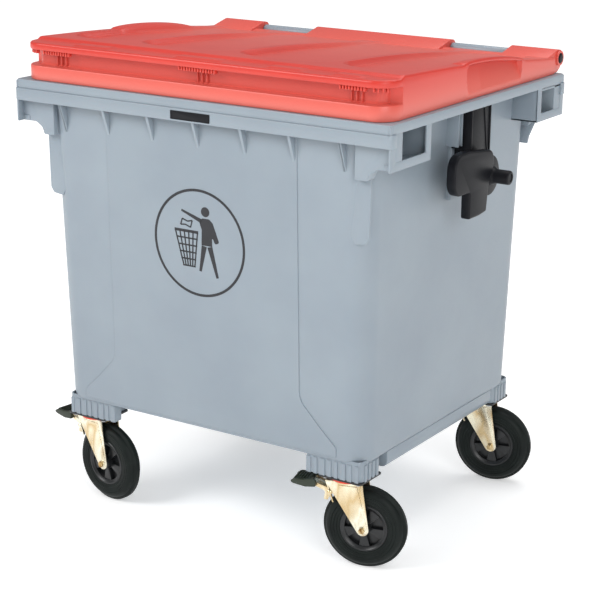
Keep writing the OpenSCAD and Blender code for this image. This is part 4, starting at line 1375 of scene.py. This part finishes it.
@dataclass
class Castor:
    """One swivel castor; its own lines run along the trail, across it and up."""

    name: str
    braked: bool
    wheel_radius: float = 120.0
    tyre_width: float = 50.0
    seat: float = 69.0
    trail: float = 48.0
    crown_z: float = 250.0
    leg_in: float = 31.0
    leg_thick: float = 4.0

    def place(self) -> Matrix:
        """Returns where the castor's own lines stand in the container's lines.

        Returns:
            The matrix that takes the one to the other.
        """
        swivel = joint_place(f"swivel_{self.name}")
        wheel = joint_place(f"wheel_spin_{self.name}")
        turn = math.atan2(wheel.y - swivel.y, wheel.x - swivel.x)
        return Matrix.Translation((swivel.x, swivel.y, 0.0)) @ Matrix.Rotation(turn, 4, "Z")

    def build(self) -> None:
        """Builds every piece of the castor."""
        self.fork()
        self.hub()
        self.tyre()
        self.axle()
        self.head()
        if self.braked:
            self.brake()

    def leg_outline(self, front: float, rear: float, foot: float, top: float) -> list[Point2]:
        """Returns a leg's outline: tangents from the crown to a round foot about the axle.

        Args:
            front: where the leg's front edge meets the crown.
            rear: where the leg's rear edge meets the crown.
            foot: radius of the round foot.
            top: height at which the leg meets the crown.

        Returns:
            The outline's points.
        """
        centre = Vector((self.trail, self.wheel_radius))
        outline: list[Point2] = [(front, top)]
        points = []
        for corner, sign in ((Vector((front, top)), 1.0), (Vector((rear, top)), -1.0)):
            span = centre - corner
            away = math.asin(foot / span.length)
            turn = math.atan2(span.y, span.x) - sign * away
            length = math.sqrt(span.length_squared - foot * foot)
            points.append(corner + Vector((math.cos(turn), math.sin(turn))) * length)
        first = math.atan2(points[0].y - centre.y, points[0].x - centre.x)
        last = math.atan2(points[1].y - centre.y, points[1].x - centre.x)
        while last < first:
            last += FULL_TURN
        steps = 18
        for k in range(steps + 1):
            angle = mix(first, last, k / steps)
            outline.append((centre.x + foot * math.cos(angle), centre.y + foot * math.sin(angle)))
        outline.append((rear, top))
        return outline

    def fork(self) -> None:
        """Builds the pressed fork: crown, legs with a raised band, and folded front edges."""
        piece = Solid(f"pressed_fork_{self.name}", self.place())
        top = self.crown_z + 6.0
        thick = self.leg_thick
        outer = self.leg_in + thick
        plate = rectangle(54.0, outer, 6.0, (-8.0, 0.0))
        piece.prism(plate, Plane.XY, top - 5.0, 5.0, 1.5)
        piece.lathe([(8.2, top - 5.5), (46.0, top - 5.5), (46.0, top - 1.0), (44.5, top), (8.2, top)],
                    (0.0, 0.0, 0.0), (0.0, 0.0, 1.0), 56, ring=True)
        leg = self.leg_outline(-62.0, 46.0, 18.0, top - 1.5)
        band = self.leg_outline(-22.0, 32.0, 15.0, top - 10.0)
        for side in (-1.0, 1.0):
            start = min(side * self.leg_in, side * outer)
            piece.prism(leg, Plane.XZ, start, thick, 1.2)
            rise = min(side * (outer - 1.0), side * (outer + 2.2))
            piece.prism(band, Plane.XZ, rise, 3.2, 1.9, 3)
            fold = [(-62.0, top - 3.0), (-57.5, top - 3.0), (-36.0, 190.0), (-40.5, 190.0)]
            fold_start = min(side * (self.leg_in - 6.0), side * (self.leg_in + 1.0))
            piece.prism(fold, Plane.XZ, fold_start, 7.0, 1.0)
            piece.lathe([(6.2, 0.0), (11.0, 0.0), (11.0, 2.4), (9.0, 3.4), (6.2, 3.4)],
                        (self.trail, side * (outer + 1.6), self.wheel_radius), (0.0, side, 0.0), 32,
                        ring=True)
        piece.build(YELLOW_ZINC, f"fork_{self.name}", "yellow_zinc", [f"fork_{self.name}"])

    def hub(self) -> None:
        """Builds the hub: rim ring with its lip, web, five wedge spokes and the nave."""
        piece = Solid(f"spoked_hub_{self.name}", self.place())
        axle = (self.trail, 0.0, self.wheel_radius)
        across = (0.0, 1.0, 0.0)
        half = self.tyre_width / 2.0 - 4.0
        inner = 56.0
        ring = [(self.seat, -half), (self.seat, half), (self.seat - 1.5, half + 1.5),
                (self.seat - 5.0, half + 1.5),
                (self.seat - 7.0, half - 0.5), (inner, half - 3.0), (inner, -half + 3.0),
                (self.seat - 7.0, -half + 0.5), (self.seat - 5.0, -half - 1.5),
                (self.seat - 1.5, -half - 1.5)]
        piece.lathe(ring, axle, across, 80, ring=True)
        piece.lathe([(6.3, -4.0), (inner + 2.0, -4.0), (inner + 2.0, 4.0), (6.3, 4.0)], axle, across, 64,
                    ring=True)
        nave = [(6.3, -30.0), (15.0, -30.0), (18.0, -27.0), (20.0, -12.0), (20.0, 12.0), (18.0, 27.0),
                (15.0, 30.0),
                (6.3, 30.0)]
        piece.lathe(nave, axle, across, 40, ring=True)
        for k in range(5):
            angle = math.radians(-88.0) + FULL_TURN * k / 5.0
            wedge = [(14.0, -5.0), (inner + 2.0, -17.0), (inner + 2.0, 17.0), (14.0, 5.0)]
            spoke = [(r * math.cos(angle) - w * math.sin(angle), r * math.sin(angle) + w * math.cos(angle))
                     for r, w in wedge]
            placed = [(self.trail + u, self.wheel_radius + v) for u, v in spoke]
            piece.prism(placed, Plane.XZ, -16.5, 33.0, 1.6)
        piece.build(HUB_PLASTIC, f"wheel_{self.name}", "hub_plastic", [f"hub_{self.name}"])

    def tyre(self) -> None:
        """Builds the solid tyre with its stepped side walls."""
        piece = Solid(f"solid_tyre_{self.name}", self.place())
        radius, half = self.wheel_radius, self.tyre_width / 2.0
        side = [(self.seat, half - 5.0), (self.seat + 2.0, half - 3.4), (self.seat + 4.0, half - 3.0),
                (77.0, half - 2.6), (78.0, half - 1.0), (84.0, half - 0.2), (85.0, half - 1.2),
                (86.0, half - 0.2),
                (92.0, half), (93.5, half - 1.2), (95.0, half), (99.0, half - 0.6), (102.5, half - 2.2),
                (105.8, half - 4.6), (108.6, half - 7.6), (110.6, half - 11.0), (111.9, half - 14.6),
                (radius, half - 19.0)]
        profile = side + [(r, -h) for r, h in reversed(side)]
        piece.lathe(profile, (self.trail, 0.0, radius), (0.0, 1.0, 0.0), 112, ring=True)
        piece.build(TYRE_RUBBER, f"wheel_{self.name}", "tyre_rubber", [f"tyre_{self.name}"])

    def axle(self) -> None:
        """Builds the axle bolt with its hexagon head, washer and nut."""
        piece = Solid(f"axle_bolt_{self.name}", self.place())
        outer = self.leg_in + self.leg_thick + 3.8
        centre = (self.trail, 0.0, self.wheel_radius)
        piece.lathe([(0.0, -outer - 4.0), (5.9, -outer - 4.0), (5.9, outer + 7.6), (4.6, outer + 9.0),
                     (0.0, outer + 9.0)], centre, (0.0, 1.0, 0.0), 28)
        for side in (-1.0, 1.0):
            hexagon = circle(9.8, (self.trail, self.wheel_radius), 6)
            start = min(side * outer, side * (outer + 6.2))
            piece.prism(hexagon, Plane.XZ, start, 6.2, 1.0)
            washer = [(5.0, 0.0), (10.8, 0.0), (10.8, 1.4), (5.0, 1.4)]
            piece.lathe(washer, (self.trail, side * (outer - 1.0), self.wheel_radius), (0.0, side, 0.0), 32,
                        ring=True, bevel=0.3)
        piece.build(BOLT_ZINC, f"fork_{self.name}", "yellow_zinc", [f"axle_{self.name}"])

    def head(self) -> None:
        """Builds the plate, its bolts, the dust ring and the kingpin."""
        still = Matrix.Translation(joint_place(f"swivel_{self.name}").xy.to_3d())
        low, high = (v.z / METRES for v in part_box(f"castor_plate_{self.name}"))
        plate = Solid(f"castor_top_plate_{self.name}", still)
        plate.prism(rectangle(70.0, 57.5, 9.0), Plane.XY, low, high - low, 1.4)
        plate.build(BLACK_STEEL, "container", "black_steel", [f"castor_plate_{self.name}"])
        bolts = Solid(f"plate_bolts_{self.name}", still)
        for dx in (-52.5, 52.5):
            for dy in (-40.0, 40.0):
                bolts.prism(circle(8.6, (dx, dy), 6), Plane.XY, low - 6.0, 5.0, 0.8)
                bolts.lathe([(0.0, low - 1.2), (9.0, low - 1.2), (9.0, low), (5.0, low), (5.0, high + 30.0),
                             (0.0, high + 30.0)], (dx, dy, 0.0), (0.0, 0.0, 1.0), 24)
        bolts.build(BRIGHT_ZINC, "container", "plated_steel", [f"castor_bolts_{self.name}"])
        ring = Solid(f"dust_ring_piece_{self.name}", still)
        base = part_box(f"dust_ring_{self.name}")[0].z / METRES
        ring.lathe([(28.2, base), (49.5, base), (52.1, base + 1.2), (53.0, base + 3.0), (53.0, low - 2.0),
                    (50.5, low), (28.2, low)], (0.0, 0.0, 0.0), (0.0, 0.0, 1.0), 56, ring=True)
        ring.build(SEAL_PLASTIC, "container", "seal_plastic", [f"dust_ring_{self.name}"])
        kingpin = Solid(f"kingpin_piece_{self.name}", still)
        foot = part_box(f"kingpin_{self.name}")[0].z / METRES
        kingpin.lathe([(0.0, foot), (12.0, foot), (15.0, foot + 2.0), (15.0, foot + 5.0), (8.0, foot + 5.0),
                       (8.0, base), (27.9, base), (27.9, low), (8.0, low), (8.0, high), (0.0, high)],
                      (0.0, 0.0, 0.0), (0.0, 0.0, 1.0), 40)
        kingpin.build(YELLOW_ZINC, "container", "yellow_zinc", [f"kingpin_{self.name}"])

    def brake(self) -> None:
        """Builds the brake's lever, its pedal and its pin."""
        pivot_x, pivot_z = -48.0, self.crown_z - 31.0
        body = f"brake_{self.name}"
        lever = Solid(f"brake_lever_plate_{self.name}", self.place() @ Matrix.Translation((pivot_x, 0.0,
                                                                                           pivot_z)))
        arm = rounded([(-50.0, 23.0), (-56.0, 21.0), (-53.0, 13.0), (-15.0, -2.0), (-20.0, -27.0),
                       (-8.0, -27.0),
                       (6.0, -3.0), (4.0, 7.0)], (2.0, 2.0, 3.0, 8.0, 2.0, 3.0, 5.0, 5.0))
        for start, wide in ((-24.0, 5.0), (19.0, 5.0)):
            lever.prism(arm, Plane.XZ, start, wide, 1.2)
        web = rounded([(-50.0, 22.0), (-55.0, 20.5), (-52.0, 14.0), (-17.0, 0.0), (-19.0, -26.0),
                       (-12.0, -26.0),
                       (-9.0, -1.0), (-6.0, 4.0)], (2.0, 2.0, 3.0, 8.0, 2.0, 2.0, 5.0, 4.0))
        lever.prism(web, Plane.XZ, -22.0, 44.0, 1.0)
        lever.lathe([(4.3, -26.0), (9.0, -26.0), (9.0, 26.0), (4.3, 26.0)], (0.0, 0.0, 0.0),
                    (0.0, 1.0, 0.0), 32,
                    ring=True, bevel=0.8)
        lever.build(YELLOW_ZINC, body, "yellow_zinc", [f"brake_lever_{self.name}"])
        pedal = Solid(f"foot_pedal_{self.name}", self.place() @ Matrix.Translation((pivot_x, 0.0, pivot_z)))
        tread = rounded([(-48.0, 33.0), (-41.0, 27.0), (-41.0, 10.0), (-72.0, 7.0), (-106.0, 13.0),
                         (-117.0, 19.0),
                         (-100.0, 29.0), (-74.0, 28.0)], (4.0, 4.0, 4.0, 10.0, 8.0, 4.0, 8.0, 20.0))
        for start in (-34.5, 24.7):
            pedal.prism(tread, Plane.XZ, start, 9.8, 2.0, 3)
        pad = rounded([(-60.0, 27.0), (-60.0, 13.0), (-72.0, 9.0), (-106.0, 14.0), (-115.0, 19.0),
                       (-100.0, 27.0),
                       (-78.0, 26.0)], (2.0, 4.0, 6.0, 8.0, 4.0, 8.0, 10.0))
        pedal.prism(pad, Plane.XZ, -26.0, 52.0, 2.0)
        for k in range(5):
            x = -104.0 + 7.5 * k
            pedal.block((x, -29.0, 22.0), (x + 3.2, 29.0, 29.5), 1.0)
        pedal.build(PEDAL_PLASTIC, body, "pedal_plastic", [f"brake_pedal_{self.name}"])
        pin = Solid(f"brake_pivot_pin_{self.name}", self.place() @ Matrix.Translation((pivot_x, 0.0,
                                                                                       pivot_z)))
        outer = self.leg_in + self.leg_thick
        pin.lathe([(0.0, -outer - 3.0), (5.0, -outer - 3.0), (7.0, -outer - 1.5), (7.0, -outer),
                   (4.0, -outer),
                   (4.0, outer), (7.0, outer), (7.0, outer + 1.5), (5.0, outer + 3.0), (0.0, outer + 3.0)],
                  (0.0, 0.0, 0.0), (0.0, 1.0, 0.0), 28)
        pin.build(YELLOW_ZINC, f"fork_{self.name}", "yellow_zinc", [f"brake_pin_{self.name}"])


# ---- carried-over parts ----


def dress(node: str, finish: Finish) -> None:
    """Gives a CAD node that keeps its shape its finish.

    Args:
        node: the CAD node's name.
        finish: the finish that it wears.
    """
    data = frame["nodes"][node].data
    data.materials.clear()
    data.materials.append(finish.material())
    LOG.info("%s keeps its shape", node)


# ---- stage ----


@dataclass
class Stage:
    """The floor, the lights and the camera."""

    camera_mm: tuple[float, float, float] = (2779.3, -4247.6, 2101.3)
    azimuth: float = 32.96
    elevation: float = 16.49
    roll: float = 0.50
    lens: float = 105.3

    def floor(self) -> None:
        """Builds the plain floor."""
        part = bmesh.new()
        bmesh.ops.create_grid(part, x_segments=8, y_segments=8, size=30.0)
        data = bpy.data.meshes.new("floor")
        part.to_mesh(data)
        part.free()
        data.materials.append(FLOOR_PAINT.material())
        piece = bpy.data.objects.new("floor", data)
        bpy.context.scene.collection.objects.link(piece)

    def light(self, name: str, place: Sequence[float], aim: Sequence[float], size: float,
              power: float) -> None:
        """Adds a soft square light that looks at a point.

        Args:
            name: the light's name.
            place: where it stands, in metres.
            aim: the point that it looks at, in metres.
            size: the square's side, in metres.
            power: its power, in watts.
        """
        lamp = bpy.data.lights.new(name, "AREA")
        lamp.size = size
        lamp.energy = power
        holder = bpy.data.objects.new(name, lamp)
        holder.location = place
        holder.rotation_euler = (Vector(aim) - Vector(place)).to_track_quat("-Z", "Y").to_euler()
        bpy.context.scene.collection.objects.link(holder)

    def lights(self) -> None:
        """Adds the studio's lights and its even surroundings."""
        self.light("key", (-3.2, -4.6, 4.6), (0.0, 0.0, 0.7), 3.0, 240.0)
        self.light("fill", (4.6, -3.4, 3.0), (0.0, 0.0, 0.7), 3.0, 140.0)
        self.light("top", (0.4, 1.2, 5.0), (0.0, 0.0, 1.0), 4.0, 120.0)
        world = bpy.data.worlds.new("studio")
        world.use_nodes = True
        ground = world.node_tree.nodes["Background"]
        ground.inputs["Color"].default_value = (1.0, 1.0, 1.0, 1.0)
        ground.inputs["Strength"].default_value = 0.35
        bpy.context.scene.world = world
        bpy.context.scene.view_settings.view_transform = "Standard"

    def camera(self) -> None:
        """Adds the camera."""
        around, up, roll = (math.radians(a) for a in (self.azimuth, self.elevation, self.roll))
        back = Vector((math.sin(around) * math.cos(up), -math.cos(around) * math.cos(up), math.sin(up)))
        level = Vector((math.cos(around), math.sin(around), 0.0))
        upright = back.cross(level)
        right = level * math.cos(roll) + upright * math.sin(roll)
        top = upright * math.cos(roll) - level * math.sin(roll)
        lens = bpy.data.cameras.new("camera")
        lens.lens = self.lens
        lens.sensor_width = 36.0
        lens.clip_end = 100.0
        holder = bpy.data.objects.new("camera", lens)
        turn = Matrix((right, top, back)).transposed().to_4x4()
        place = (Vector(self.camera_mm) - Vector((0.0, SHIFT, 0.0))) * METRES
        holder.matrix_world = Matrix.Translation(place) @ turn
        bpy.context.scene.collection.objects.link(holder)
        bpy.context.scene.camera = holder

    def build(self) -> None:
        """Builds the floor, the lights and the camera."""
        self.floor()
        self.lights()
        self.camera()


def main() -> None:
    """Builds the container's looks, sub-assembly by sub-assembly."""
    logging.basicConfig(level=logging.INFO, format="%(name)s: %(message)s")
    Stage().build()
    tub = Tub()
    tub.build()
    tub.sign()
    tub.nameplate()
    Lid().build()
    for side, name in ((-1.0, "left"), (1.0, "right")):
        LiftingGear(side, name).build()
        dress(f"trunnion_bolts_{name}", BRIGHT_ZINC)
    for name in ("front_left", "front_right", "rear_left", "rear_right"):
        Castor(name, name.startswith("front")).build()
    dress("hinge_rod", BRIGHT_ZINC)
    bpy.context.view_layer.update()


if __name__ == "__main__":
    main()
